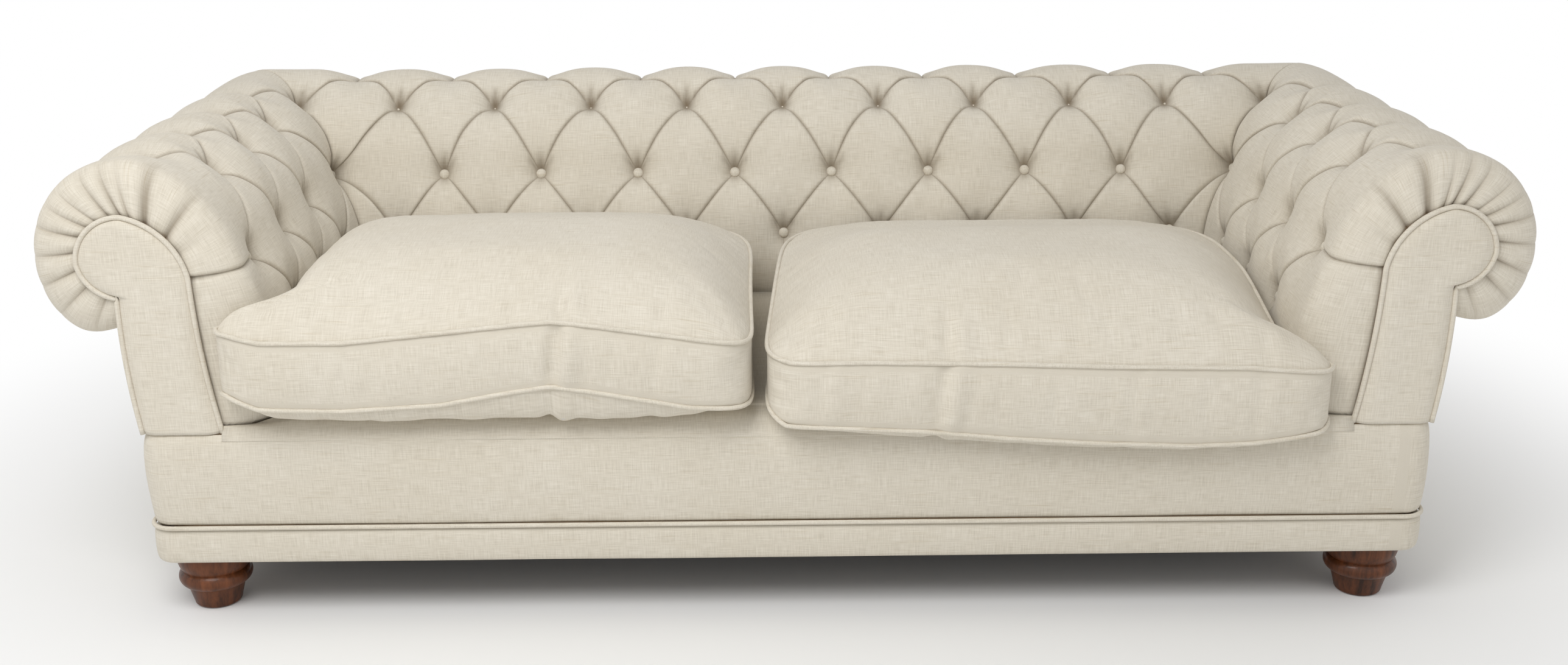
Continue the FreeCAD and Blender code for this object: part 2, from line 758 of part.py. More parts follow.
def upper_frame():
    arm_x = (board_inner_x, board_outer_x)
    back_depth = (board_inner_depth, board_outer_depth)
    arm_run = (scroll_board_back, board_inner_depth)
    tall = (board_bottom, board_top)
    low = (base_top + tuck_gap, base_top + tuck_gap + lower_rail_height)
    save_pair("scroll_board", scroll_prism(scroll_board_front, scroll_board_thickness, base_top))
    save_pair("arm_top_board", block(arm_x, arm_run, tall))
    save("back_top_board", block((-board_outer_x, board_outer_x), back_depth, tall))
    post = block(arm_x, back_depth, (base_top, board_bottom))
    save("back_posts", Part.makeCompound([post, mirrored(post)]))
    save_pair("arm_lower_rail", block(arm_x, arm_run, low))
    save("back_lower_rail", block((-board_inner_x, board_inner_x), back_depth, low))
    stiles = []
    for x in (-stile_spacing / 2, stile_spacing / 2):
        wide = (x - stile_width / 2, x + stile_width / 2)
        stiles.append(block(wide, back_depth, (low[1], board_bottom)))
    save("back_stiles", Part.makeCompound(stiles))
    lining_x = (roll_x - lining_front, board_inner_x)
    lining_depth = (roll_depth - lining_front, board_inner_depth)
    lining_z = (pad_bottom, board_top)
    save_pair("arm_lining", block(lining_x, (scroll_board_back, lining_depth[0]), lining_z))
    save("back_lining", block((-board_inner_x, board_inner_x), lining_depth, lining_z))


def slanted_panel(pad, run):
    """A thin outside panel, flush with the base below and flaring out to the roll above."""
    inner = -base_inset - panel_thickness
    profile = [(inner, base_top), (-base_inset, base_top), (panel_flare - base_inset, panel_top),
               (inner + panel_flare, panel_top)]
    start = flat_face([on_pad(pad, run[0], offset, height) for offset, height in profile])
    length = run[1] - run[0]
    return start.extrude(Vector(0, length, 0) if pad == ARM else Vector(length, 0, 0))


def outside_panels():
    side_end = roll_depth - base_inset - panel_thickness - panel_corner_gap
    save_pair("outside_arm_panel", slanted_panel(ARM, (scroll_board_back + fit_gap, side_end)))
    save("outside_back_panel", slanted_panel(BACK, (-base_half_width, base_half_width)))


# Seat

def zigzag_spring(x):
    """One flat serpentine spring, with a straight bar at each end for its clips."""
    level = base_top + spring_wire_radius + fit_gap
    first = spring_end_inset
    last = base_rear - spring_end_inset
    step = (last - first) / (spring_bars - 1)
    edges = []
    for bar in range(spring_bars):
        side = 1 if bar % 2 == 0 else -1
        depth = at_depth(first + step * bar)
        near = Vector(x - side * spring_half_width, depth, level)
        far = Vector(x + side * spring_half_width, depth, level)
        edges.append(Part.makeLine(near, far))
        if bar < spring_bars - 1:
            bend = far + Vector(side * step / 2, step / 2, 0)
            edges.append(Part.Arc(far, bend, far + Vector(0, step, 0)).toShape())
    return tube(Part.Wire(edges), spring_wire_radius)


def spring_clip(x, depth):
    """A small arch over the end bar of a spring, standing on the seat rail."""
    level = base_top + spring_wire_radius + fit_gap
    across = (x - clip_width / 2, x + clip_width / 2)
    bend = spring_wire_radius + fit_gap
    along = (depth - clip_length / 2, depth + clip_length / 2)
    body = block(across, along, (base_top, base_top + clip_height))
    groove = Part.makeCylinder(bend, clip_width, Vector(across[0], at_depth(depth), level), Vector(1, 0, 0))
    mouth = block(across, (depth - bend, depth + bend), (base_top, level))
    return body.cut(groove.fuse(mouth))


def deck_pad():
    """The padded platform under the cushions, with a rounded nose and a lip down to the border."""
    nose = deck_nose_radius
    slant = nose * (1 - math.sqrt(0.5))
    lip = border_thickness

    def spot(depth, height):
        return Vector(-deck_half, at_depth(depth), height)

    corners = [spot(nose, deck_top), spot(deck_rear, deck_top), spot(deck_rear, deck_bottom),
               spot(lip, deck_bottom), spot(lip, base_top + fit_gap), spot(0, base_top + fit_gap),
               spot(0, deck_top - nose)]
    edges = [Part.makeLine(corners[i], corners[i + 1]) for i in range(len(corners) - 1)]
    edges.append(bowed_edge(corners[-1], spot(slant, deck_top - slant), corners[0]))
    return Part.Face(Part.Wire(edges)).extrude(Vector(2 * deck_half, 0, 0))


def seat():
    places = [(index - (spring_count - 1) / 2) * spring_spacing for index in range(spring_count)]
    save("seat_springs", Part.makeCompound([zigzag_spring(x) for x in places]))
    ends = (spring_end_inset, base_rear - spring_end_inset)
    save("spring_clips", Part.makeCompound([spring_clip(x, depth) for x in places for depth in ends]))
    save("seat_hessian", block((-deck_half, deck_half), (front_rail_front, back_rail_back),
                               (hessian_bottom, hessian_bottom + hessian_thickness)))
    save("seat_deck_pad", deck_pad())
    cover = block((-rail_inner_x, rail_inner_x), (front_rail_back, back_rail_front),
                  (frame_bottom - dust_cover_thickness, frame_bottom))
    for name, x, depth in foot_places():
        cover = cover.cut(rod(x, depth, foot_bulb_radius, (0, frame_bottom)))
    save("dust_cover", cover)


# Loose cushions

def cushion_corners(side, inset):
    """Plan corners of a cushion, from the front outer ear round to its waist on the outer side."""
    width = left_cushion_width if side < 0 else right_cushion_width
    inner = cushion_split_x + side * (cushion_gap / 2 + inset)
    outer = cushion_split_x + side * (cushion_gap / 2 + width - inset)
    front = inset - cushion_overhang
    rear = cushion_rear - inset
    waist = min(cushion_ear_depth - cushion_overhang + inset, rear - 2 * cushion_corner)
    return [(outer + side * cushion_ear, front), (inner, front), (inner, rear), (outer, rear), (outer, waist)]


def hang_at(side, hang, hang_depth, point):
    """How far a point of a cushion stands above the rear, where the front hangs or swells."""
    width = left_cushion_width if side < 0 else right_cushion_width
    share = (side * (point.x - cushion_split_x) - cushion_gap / 2) / (width + cushion_ear)
    inner, middle, outer = hang
    if share < 0.5:
        across = inner + (middle - inner) * 2 * share
    else:
        across = middle + (outer - middle) * (2 * share - 1)
    from_front = point.y - at_depth(-cushion_overhang)
    return across * min(1.0, max(0.0, 1 - from_front / hang_depth))


def cushion_wire(side, level, inset, lower_share=0.0, upper_share=0.0):
    """Outline of a cushion, with rounded corners and sides drawn in between them. Its front follows the
    hang of the lower and of the upper seam, each by its share."""
    def hung(point):
        lower = hang_at(side, left_lower_hang if side < 0 else right_lower_hang, lower_hang_depth, point)
        upper = hang_at(side, left_upper_hang if side < 0 else right_upper_hang, upper_hang_depth, point)
        return point + Vector(0, 0, lower * lower_share + upper * upper_share)

    corners = [Vector(x, at_depth(depth), level) for x, depth in cushion_corners(side, inset)]
    middle = Vector(0, 0, 0)
    for corner in corners:
        middle += corner * (1.0 / len(corners))
    count = len(corners)
    leaving = []
    arriving = []
    for index, corner in enumerate(corners):
        before = (corners[index - 1] - corner).normalize()
        after = (corners[(index + 1) % count] - corner).normalize()
        arriving.append(corner + before * cushion_corner)
        leaving.append(corner + after * cushion_corner)
    edges = []
    for index, corner in enumerate(corners):
        following = (index + 1) % count
        start = leaving[index]
        end = arriving[following]
        inward = Vector(-(end - start).y, (end - start).x, 0).normalize()
        if inward.dot(middle - start) < 0:
            inward = inward * -1
        draw = cushion_draw_in if index in (0, 1, 3) else 0.0
        bow = between(start, end, 0.5) + inward * draw
        edges.append(bowed_edge(hung(start), hung(bow), hung(end)))
        chord = between(arriving[following], leaving[following], 0.5)
        turn = between(chord, corners[following], cushion_corner_fullness)
        edges.append(bowed_edge(hung(end), hung(turn), hung(leaving[following])))
    return Part.Wire(edges)


def cushion_solid(side, shrink):
    """The whole cushion, or the space inside its cover: belly, boxing and crown, one on the other."""
    low = cushion_bottom + shrink
    steep = shrink * belly_slope
    lower_seam = cushion_bottom + cushion_belly + steep
    upper_seam = cushion_bottom + cushion_belly + boxing_height
    high = upper_seam + (left_crown if side < 0 else right_crown) - shrink
    belly = [(low, belly_foot, 0.0, 0.0), (cushion_bottom + belly_waist_rise + steep, belly_waist, 0.0, 0.0),
             (lower_seam, 0.0, 1.0, 0.0)]
    boxing = [(lower_seam, 0.0, 1.0, 0.0), ((lower_seam + upper_seam) / 2, -boxing_swell, 0.5, 0.5),
              (upper_seam, 0.0, 0.0, 1.0)]
    crown = [(upper_seam + (high - upper_seam) * share, inset, 0.0, 1 - share) for share, inset in crown_steps]
    faces = [Part.Face(cushion_wire(side, low, belly[0][1] + shrink)),
             Part.Face(cushion_wire(side, high, crown[-1][1] + shrink))]
    for stack, ruled in ((belly, True), (boxing, False), (crown, False)):
        wires = [cushion_wire(side, level, inset + shrink, *shares) for level, inset, *shares in stack]
        faces += Part.makeLoft(wires, False, ruled).Faces
    return closed_solid(faces)


def seam_cord(side, level, *shares):
    """A cord along one seam of a cushion, just outside its cover."""
    inside = -seam_stand
    edge = inside - seam_cord_edge
    crest = inside - seam_cord_crest
    stack = ((level - piping_radius, edge), (level, crest), (level + piping_radius, edge))
    outer = [cushion_wire(side, height, inset, *shares) for height, inset in stack]
    inner = [cushion_wire(side, stack[end][0], inside, *shares) for end in (0, -1)]
    faces = []
    for wires in (outer, inner, [outer[0], inner[0]], [outer[-1], inner[-1]]):
        faces += Part.makeLoft(wires, False, False).Faces
    return closed_solid(faces)


def seam_piping(side):
    lower_seam = cushion_bottom + cushion_belly
    return Part.makeCompound([seam_cord(side, lower_seam, 1.0, 0.0),
                              seam_cord(side, lower_seam + boxing_height, 0.0, 1.0)])


def loose_cushion(name, side):
    width = left_cushion_width if side < 0 else right_cushion_width
    middle_x = cushion_split_x + side * (cushion_gap + width) / 2
    level = cushion_bottom + cushion_belly + boxing_height / 2
    rear = cushion_rear + boxing_swell
    half = zip_length / 2
    slot = block((middle_x - half, middle_x + half), (rear - zip_slot_depth, rear + cover_thickness),
                 (level - zip_width / 2, level + zip_width / 2))
    cover = cushion_solid(side, 0.0).cut(cushion_solid(side, cover_thickness)).cut(slot)
    save(name + "_cushion_cover", cover)
    save(name + "_cushion_fill", cushion_solid(side, cover_thickness + fill_gap))
    save(name + "_cushion_piping", seam_piping(side))
    tape = block((middle_x - half + fit_gap, middle_x + half - fit_gap), (rear - cover_thickness, rear),
                 (level - zip_width / 2 + fit_gap, level + zip_width / 2 - fit_gap))
    save(name + "_cushion_zip", tape)
    start = middle_x - half + slider_length
    slider = block((start, start + slider_length), (rear + fit_gap, rear + fit_gap + slider_thickness),
                   (level - slider_height / 2, level + slider_height / 2))
    save(name + "_zip_slider", slider.makeFillet(slider_rounding, slider.Edges))


# Buttons

def button(seat_point, outward, clear, stand):
    """A covered button: a domed disc on a short shank that all but reaches the padding."""
    rim = stand + button_rim
    profile = [Vector(0, 0, clear), Vector(button_shank_radius, 0, clear),
               Vector(button_shank_radius, 0, stand), Vector(button_radius, 0, stand),
               Vector(button_radius, 0, rim)]
    crown = Vector(0, 0, rim + button_dome)
    ball_radius = (button_radius ** 2 + button_dome ** 2) / (2 * button_dome)
    turn = math.asin(button_radius / ball_radius) / 2
    shoulder = Vector(ball_radius * math.sin(turn), 0, crown.z - ball_radius * (1 - math.cos(turn)))
    edges = [Part.makeLine(profile[i], profile[i + 1]) for i in range(len(profile) - 1)]
    edges.append(bowed_edge(profile[-1], shoulder, crown))
    edges.append(Part.makeLine(crown, profile[0]))
    body = Part.Face(Part.Wire(edges)).revolve(Vector(0, 0, 0), Vector(0, 0, 1), 360)
    body.Placement = FreeCAD.Placement(seat_point, FreeCAD.Rotation(Vector(0, 0, 1), outward))
    return body


def row_outward(pad, row):
    """Direction in which a button of this row faces."""
    level, rise = row_lean[row]
    return Vector(level, 0, rise) if pad == ARM else Vector(0, level, rise)


def row_button(pad, row, along, in_fold):
    """A button in its row; one between two fuller bulges, as in a corner, stands higher."""
    clear = fold_button_clear[row] if in_fold else button_clear
    stand = fold_button_stand[row] if in_fold else button_stand
    return button(row_point(pad, row, along), row_outward(pad, row), clear, stand)


def corner_button(row, corner, sign):
    level, rise = row_lean[row]
    seat_point = row_point(BACK, row, corner(-row_reach[row]))
    outward = Vector(sign * level, level, rise)
    return button(seat_point, outward, fold_button_clear[row], fold_button_stand[row])


def buttons():
    back = []
    for row, columns in ((0, back_half), (1, back_full), (2, back_half[1:-1]), (3, back_full)):
        back += [row_button(BACK, row, x, False) for x in columns]
    for row in (1, 2):
        back.append(corner_button(row, back_left, -1))
        back.append(corner_button(row, back_right, 1))
    save("back_buttons", Part.makeCompound(back))
    arm = []
    for row, columns in ((0, arm_even), (1, arm_odd), (2, arm_even[:-1]), (3, arm_odd)):
        for index, y in enumerate(columns):
            arm.append(row_button(ARM, row, y, index == 0 and row < 3))
    save_pair("arm_buttons", Part.makeCompound(arm))


def main():
    save("back_pad", back_pad())
    save_pair("arm_pad", arm_pad())
    buttons()
    save_pair("arm_facing", scroll_prism(0, facing_thickness, base_top))
    save_pair("facing_piping", facing_piping())
    save_pair("arm_roll_end", arm_roll_end())
    save_pair("arm_front_panel", arm_front_panel())
    save("base_border", base_ring(-border_thickness, 0.0, (band_top, base_top)))
    save("base_band", base_ring(-border_thickness, band_proud, (base_bottom, band_top)))
    save("band_piping", band_piping())
    seat_rails()
    feet_and_blocks()
    upper_frame()
    outside_panels()
    seat()
    loose_cushion("left", -1)
    loose_cushion("right", 1)


if __name__ == "__main__":
    main()
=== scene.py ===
# %% [markdown]
# # A buttoned sofa with rolled arms
# The wooden frame, the feet and the springs come ready made from the CAD model. What is soft is made
# here: the buttoned back and arms, the cushions, the facings and the base. Each piece is in metres and
# stands in the CAD model's own frame, so nothing has to be fitted afterwards.

# %% Load the model
import cmath
import json
import math

import bmesh
import bpy
import numpy as np
from mathutils import Matrix, Vector, noise

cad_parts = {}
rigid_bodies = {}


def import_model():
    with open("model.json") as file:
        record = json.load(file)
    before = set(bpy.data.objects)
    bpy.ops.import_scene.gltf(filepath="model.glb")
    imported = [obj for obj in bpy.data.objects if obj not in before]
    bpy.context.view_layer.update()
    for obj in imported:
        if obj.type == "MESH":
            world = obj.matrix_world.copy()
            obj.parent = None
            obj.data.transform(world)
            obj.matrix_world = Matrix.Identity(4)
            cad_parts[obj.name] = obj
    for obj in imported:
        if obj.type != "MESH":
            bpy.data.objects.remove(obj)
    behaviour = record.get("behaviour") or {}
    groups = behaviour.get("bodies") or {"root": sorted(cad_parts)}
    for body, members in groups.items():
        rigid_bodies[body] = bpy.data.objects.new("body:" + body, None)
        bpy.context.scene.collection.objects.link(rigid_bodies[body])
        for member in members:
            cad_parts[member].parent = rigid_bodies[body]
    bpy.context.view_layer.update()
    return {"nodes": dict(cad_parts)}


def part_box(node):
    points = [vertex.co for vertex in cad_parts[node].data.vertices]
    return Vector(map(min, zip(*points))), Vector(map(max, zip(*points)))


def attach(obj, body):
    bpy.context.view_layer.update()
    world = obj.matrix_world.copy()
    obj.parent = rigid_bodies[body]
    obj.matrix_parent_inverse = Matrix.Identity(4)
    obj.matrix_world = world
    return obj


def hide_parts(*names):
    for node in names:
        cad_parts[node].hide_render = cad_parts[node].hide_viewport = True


for leftover in list(bpy.data.objects):
    bpy.data.objects.remove(leftover)
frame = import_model()
nodes = frame["nodes"]
scene = bpy.context.scene
scene.view_settings.view_transform = "Standard"
print("nodes in the frame:", len(nodes))

# %% [markdown]
# ## Camera
# The camera stands where the photographer stood, a little above the sofa and looking down. A turn of the
# camera can be given as angles, but three directions (right, up and ahead) put in a matrix say the same
# without having to remember the order of the turns.

# %% Camera
photo_width = 2576
focal_pixels = 2880.3
camera_spot = Vector((-0.0352, -2.9802, 1.2642))
yaw, pitch, tilt = 0.010858, 0.309598, -0.005511

level_right = Vector((math.cos(yaw), -math.sin(yaw), 0))
ahead = Vector((math.cos(pitch) * math.sin(yaw), math.cos(pitch) * math.cos(yaw), -math.sin(pitch)))
level_up = level_right.cross(ahead)
right = math.cos(tilt) * level_right + math.sin(tilt) * level_up
up = -math.sin(tilt) * level_right + math.cos(tilt) * level_up

lens = bpy.data.cameras.new("camera")
lens.sensor_width = 36
lens.lens = focal_pixels / photo_width * lens.sensor_width
camera = bpy.data.objects.new("camera", lens)
camera.matrix_world = Matrix.Translation(camera_spot) @ Matrix((right, up, -ahead)).transposed().to_4x4()
scene.collection.objects.link(camera)
scene.camera = camera
print("lens, mm:", round(lens.lens, 2))

# %% [markdown]
# ## Materials
# A material is a small machine of nodes. Two helpers keep each one short: one starts a material, the other
# adds a node and sets its values by name.

# %% Material helpers
def new_material(name, roughness, specular):
    material = bpy.data.materials.new(name)
    material.use_nodes = True
    surface = material.node_tree.nodes["Principled BSDF"]
    surface.inputs["Roughness"].default_value = roughness
    surface.inputs["Specular IOR Level"].default_value = specular
    return material, material.node_tree, surface


def add_node(tree, kind, settings=None, **values):
    node = tree.nodes.new(kind)
    for name, value in (settings or {}).items():
        setattr(node, name, value)
    for name, value in values.items():
        node.inputs[name.replace("_", " ")].default_value = value
    return node


def stretched_noise(tree, vector, scale, detail=3.0, rough=0.55):
    """Noise drawn out into streaks: a small number in scale makes it long in that direction."""
    mapping = add_node(tree, "ShaderNodeMapping", Scale=scale)
    streaks = add_node(tree, "ShaderNodeTexNoise", Scale=1.0, Detail=detail, Roughness=rough)
    tree.links.new(vector, mapping.inputs["Vector"])
    tree.links.new(mapping.outputs["Vector"], streaks.inputs["Vector"])
    return streaks.outputs["Fac"]


def ramp(tree, value, *stops):
    node = tree.nodes.new("ShaderNodeValToRGB")
    while len(node.color_ramp.elements) < len(stops):
        node.color_ramp.elements.new(0.5)
    for element, (place, colour) in zip(node.color_ramp.elements, stops):
        element.position = place
        element.color = (*colour, 1)
    tree.links.new(value, node.inputs["Fac"])
    return node.outputs["Color"]


def mixed(tree, factor, first, second, blend="MIX"):
    node = add_node(tree, "ShaderNodeMix", {"data_type": "RGBA", "blend_type": blend})
    for value, socket in ((factor, node.inputs[0]), (first, node.inputs[6]), (second, node.inputs[7])):
        if isinstance(value, (float, tuple)):
            socket.default_value = value
        else:
            tree.links.new(value, socket)
    return node.outputs[2]


def math_node(tree, operation, first, second):
    node = add_node(tree, "ShaderNodeMath", {"operation": operation})
    for value, socket in ((first, node.inputs[0]), (second, node.inputs[1])):
        if isinstance(value, float):
            socket.default_value = value
        else:
            tree.links.new(value, socket)
    return node.outputs[0]


def bump(tree, surface, height, strength, distance):
    node = add_node(tree, "ShaderNodeBump", Strength=strength, Distance=distance)
    tree.links.new(height, node.inputs["Height"])
    tree.links.new(node.outputs["Normal"], surface.inputs["Normal"])

# %% [markdown]
# ## Linen
# The cover is natural oatmeal linen, in a plain weave whose threads swell and thin. So the colour comes
# from fine streaks that run both ways, soft mottling, and a few thick slubs. The streaks have to follow the
# cloth round each tuft, so each soft piece carries an attribute, weave, that says where on the flat cloth
# a point was. A second attribute carries painted shade: it is 1 deep in a pleat and high at the buttons and
# in their gathers, and there the colour is darkened to a warm brown where shade falls.

# %% Linen
def make_linen(name, vector_of):
    material, tree, surface = new_material(name, 0.93, 0.18)
    vector = vector_of(tree)
    weft = stretched_noise(tree, vector, (34, 34, 760))
    warp = stretched_noise(tree, vector, (760, 760, 34))
    slub = stretched_noise(tree, vector, (11, 11, 420), 1.0)
    mottle = stretched_noise(tree, vector, (6, 6, 6), 4.0, 0.6)
    threads = math_node(tree, "ADD", math_node(tree, "MULTIPLY", weft, 0.5),
                        math_node(tree, "MULTIPLY", warp, 0.5))
    cloth = ramp(tree, threads, (0.34, (0.575, 0.525, 0.435)), (0.50, (0.675, 0.625, 0.53)),
                 (0.66, (0.755, 0.71, 0.62)))
    thick = ramp(tree, slub, (0.63, (1, 1, 1)), (0.74, (0.92, 0.895, 0.85)))
    cloth = mixed(tree, 1.0, cloth, thick, "MULTIPLY")
    broad = ramp(tree, mottle, (0.3, (0.955, 0.945, 0.925)), (0.7, (1.0, 1.0, 1.0)))
    cloth = mixed(tree, 1.0, cloth, broad, "MULTIPLY")
    # Painted shade: where this attribute is high, in pleats, at buttons and in gathers, the linen is darkened
    # towards a warm brown.
    fold_shade = add_node(tree, "ShaderNodeAttribute", {"attribute_name": "fold_shade"})
    cloth = mixed(tree, fold_shade.outputs["Fac"], cloth, (0.17, 0.125, 0.075, 1))
    tree.links.new(cloth, surface.inputs["Base Color"])
    surface.inputs["Sheen Weight"].default_value = 0.12
    surface.inputs["Sheen Roughness"].default_value = 0.6
    bump(tree, surface, math_node(tree, "ADD", threads, math_node(tree, "MULTIPLY", slub, 0.5)), 0.30, 0.0009)
    return material


def woven(tree):
    return add_node(tree, "ShaderNodeAttribute", {"attribute_name": "weave"}).outputs["Vector"]


def in_place(tree):
    return tree.nodes.new("ShaderNodeTexCoord").outputs["Object"]


linen = make_linen("linen_cover", woven)
trim = make_linen("linen_trim", in_place)
print("linen materials:", linen.name, trim.name)

# %% [markdown]
# ## Wood, metal and the hidden cloths
# The feet are dark polished hardwood with a reddish glow, under a thin coat of polish. The frame is plain
# beech. Springs and bolts are bright steel, the zip is brass, and the cloths that nobody sees are jute
# hessian, black lining and white ticking.

# %% Wood
def make_wood(name, dark, light, roughness, coat, grain):
    material, tree, surface = new_material(name, roughness, 0.22)
    vector = in_place(tree)
    streaks = stretched_noise(tree, vector, grain, 6.0, 0.65)
    broad = stretched_noise(tree, vector, tuple(size * 0.12 for size in grain), 3.0)
    figure = math_node(tree, "ADD", math_node(tree, "MULTIPLY", streaks, 0.6),
                       math_node(tree, "MULTIPLY", broad, 0.4))
    tree.links.new(ramp(tree, figure, (0.36, dark), (0.64, light)), surface.inputs["Base Color"])
    surface.inputs["Coat Weight"].default_value = coat
    surface.inputs["Coat Roughness"].default_value = 0.16
    bump(tree, surface, streaks, 0.12, 0.0006)
    return material


foot_wood = make_wood("foot_wood", (0.030, 0.010, 0.004), (0.170, 0.052, 0.017), 0.42, 0.22, (120, 120, 14))
frame_wood = make_wood("frame_wood", (0.42, 0.27, 0.15), (0.66, 0.48, 0.31), 0.62, 0.0, (16, 16, 140))
print("woods:", foot_wood.name, frame_wood.name)

# %% Metal and hidden cloths
def make_metal(name, dark, light, roughness):
    material, tree, surface = new_material(name, roughness, 0.5)
    surface.inputs["Metallic"].default_value = 1.0
    drawn = stretched_noise(tree, in_place(tree), (180, 180, 180), 4.0)
    tree.links.new(ramp(tree, drawn, (0.35, dark), (0.65, light)), surface.inputs["Base Color"])
    bump(tree, surface, drawn, 0.08, 0.0003)
    return material


def make_cloth(name, dark, light, threads, roughness):
    material, tree, surface = new_material(name, roughness, 0.15)
    vector = in_place(tree)
    weft = stretched_noise(tree, vector, (threads * 0.06, threads, threads), 2.0)
    warp = stretched_noise(tree, vector, (threads, threads * 0.06, threads * 0.06), 2.0)
    weave = math_node(tree, "MULTIPLY", math_node(tree, "ADD", weft, warp), 0.5)
    tree.links.new(ramp(tree, weave, (0.36, dark), (0.62, light)), surface.inputs["Base Color"])
    bump(tree, surface, weave, 0.5, 0.001)
    return material


steel = make_metal("steel", (0.38, 0.38, 0.37), (0.62, 0.62, 0.60), 0.34)
zip_metal = make_metal("zip_metal", (0.34, 0.24, 0.11), (0.62, 0.47, 0.25), 0.30)
hessian = make_cloth("hessian", (0.20, 0.13, 0.07), (0.50, 0.37, 0.22), 420, 0.95)
dust_cloth = make_cloth("dust_cloth", (0.012, 0.012, 0.013), (0.035, 0.035, 0.037), 700, 0.9)
feather_fill = make_cloth("feather_fill", (0.62, 0.60, 0.56), (0.82, 0.80, 0.76), 800, 0.9)
zip_tape = make_cloth("zip_tape", (0.40, 0.35, 0.28), (0.58, 0.52, 0.43), 900, 0.9)
finishes = {"linen_cover": linen, "linen_trim": trim, "foot_wood": foot_wood, "frame_wood": frame_wood,
            "steel": steel, "zip_metal": zip_metal, "hessian": hessian, "dust_cloth": dust_cloth,
            "feather_fill": feather_fill, "zip_tape": zip_tape}
slot_of = {}
for node_name, node in nodes.items():
    slot_of[node_name] = node.data.materials[0].name.split(".")[0]
    node.data.materials[0] = finishes[slot_of[node_name]]
print("finishes on the frame:", sorted(set(slot_of.values())))

# %% [markdown]
# ## The section of the rolled top
# Back and arms share one section: the cover starts under the roll, at the tacks, goes round the roll and
# over its crest, and runs down the inside to the seat. This curve is the level of the pleats and buttons;
# the tufts swell out of it. A place on a pad is then two numbers, as on the flat cloth: how far along the
# pad, and how far along the section, its run.

# %% The section
front_y = -0.4736
roll_x = 0.985
roll_depth = 0.862
roll_height = 0.575
section_points = ((0.030, -0.103), (0.074, -0.102), (0.108, -0.074), (0.126, -0.025), (0.124, 0.030),
                  (0.100, 0.075), (0.058, 0.106), (-0.006, 0.115), (-0.068, 0.083), (-0.110, 0.030),
                  (-0.136, -0.028), (-0.160, -0.085), (-0.176, -0.135), (-0.184, -0.190), (-0.186, -0.268))
row_places = (7, 8, 10, 12)
line_steps = 24


def smooth_line(points, steps):
    """A smooth curve through the points, with so many steps from each to the next."""
    points = [np.array(point, float) for point in points]
    points = [2 * points[0] - points[1]] + points + [2 * points[-1] - points[-2]]
    line = []
    for before, start, end, after in zip(points, points[1:], points[2:], points[3:]):
        for t in np.arange(steps) / steps:
            straight_part = 2 * start + (end - before) * t
            square_part = (2 * before - 5 * start + 4 * end - after) * t ** 2
            cube_part = (3 * start - before - 3 * end + after) * t ** 3
            line.append(0.5 * (straight_part + square_part + cube_part))
    return np.array(line + [points[-2]])


section = smooth_line(section_points, line_steps)
runs = np.concatenate(([0.0], np.cumsum(np.linalg.norm(np.diff(section, axis=0), axis=1))))
slopes = np.gradient(section, runs, axis=0)
slopes /= np.linalg.norm(slopes, axis=1)[:, None]
row_runs = [runs[place * line_steps] for place in row_places]
seat_run = runs[-1]
filled_runs = (0.0, 0.05, runs[4 * line_steps], *row_runs, seat_run)
filled_heights = (0.008, 0.017, 0.021, 0.033, 0.035, 0.034, 0.028, 0.014)


def full_height(run):
    """Height of the stuffing over the pleats, away from all buttons."""
    return np.interp(run, filled_runs, filled_heights)


def section_at(run, height=0.0):
    """How far out from the roll's centre, and how far above it, at a height over the pleats."""
    reach = np.interp(run, runs, section[:, 0]) + np.interp(run, runs, slopes[:, 1]) * height
    rise = np.interp(run, runs, section[:, 1]) - np.interp(run, runs, slopes[:, 0]) * height
    return reach, rise


print("cloth over the roll, m:", round(seat_run, 3), "rows at", [round(run, 3) for run in row_runs])

# %% [markdown]
# ## The scroll at the front of each arm
# The front of an arm is a wooden scroll: a round head, a notch under it on the outside, and a leg that
# runs down to the base. Its edge is five arcs, each through three points. The gathered end of the roll, the
# facing and the piping all start from this one line.

# %% The scroll's edge
def arc(start, middle, end, steps=24):
    """Points on the arc through three points, without the last one."""
    first, second, third = complex(*start), complex(*middle), complex(*end)
    skew = (third - first) / (second - first)
    centre = first - (first - second) * (skew - abs(skew) ** 2) / (2j * skew.imag)
    half = cmath.phase((second - centre) / (first - centre))
    whole = half + cmath.phase((third - centre) / (second - centre))
    turned = [centre + (first - centre) * cmath.exp(1j * whole * step / steps) for step in range(steps)]
    return [(spot.real, spot.imag) for spot in turned]


notch, outermost, top, shoulder = (0.013, -0.050), (0.067, 0.0), (0.0, 0.067), (-0.088, -0.024)
inner_foot, outer_foot = (-0.115, -0.2687), (-0.001, -0.2687)
head_edge = arc(notch, (0.0474, -0.0354), outermost) + arc(outermost, (0.0474, 0.0474), top)
head_edge += arc(top, (-0.044, 0.0474), shoulder) + [shoulder]
inner_edge = arc(shoulder, (-0.0938, -0.122), inner_foot) + [inner_foot]
outer_edge = arc(outer_foot, (0.011, -0.1595), notch) + [notch]


def shares_along(points):
    steps = np.linalg.norm(np.diff(np.array(points), axis=0), axis=1)
    return np.concatenate(([0.0], np.cumsum(steps))) / steps.sum()


head_runs = shares_along(head_edge) * row_runs[2]
inner_runs = row_runs[2] + shares_along(inner_edge) * (seat_run - row_runs[2])
edge_runs = np.concatenate((head_runs, inner_runs[1:]))
edge_spots = np.array(head_edge + inner_edge[1:])


def scroll_edge_at(run):
    """The place on the scroll's edge where the cloth at this run is tacked."""
    return np.interp(run, edge_runs, edge_spots[:, 0]), np.interp(run, edge_runs, edge_spots[:, 1])


print("points on the scroll's edge:", len(edge_spots))

# %% [markdown]
# ## From flat cloth to the pad
# One function puts a place on the flat cloth where it belongs on the back or on an arm. At the rear corners
# the two pads meet on a slanting line, a mitre, so the cloth is drawn along to end exactly there. At the
# front of an arm the cloth turns in through a quarter of a full ellipse and ends on the scroll's edge.

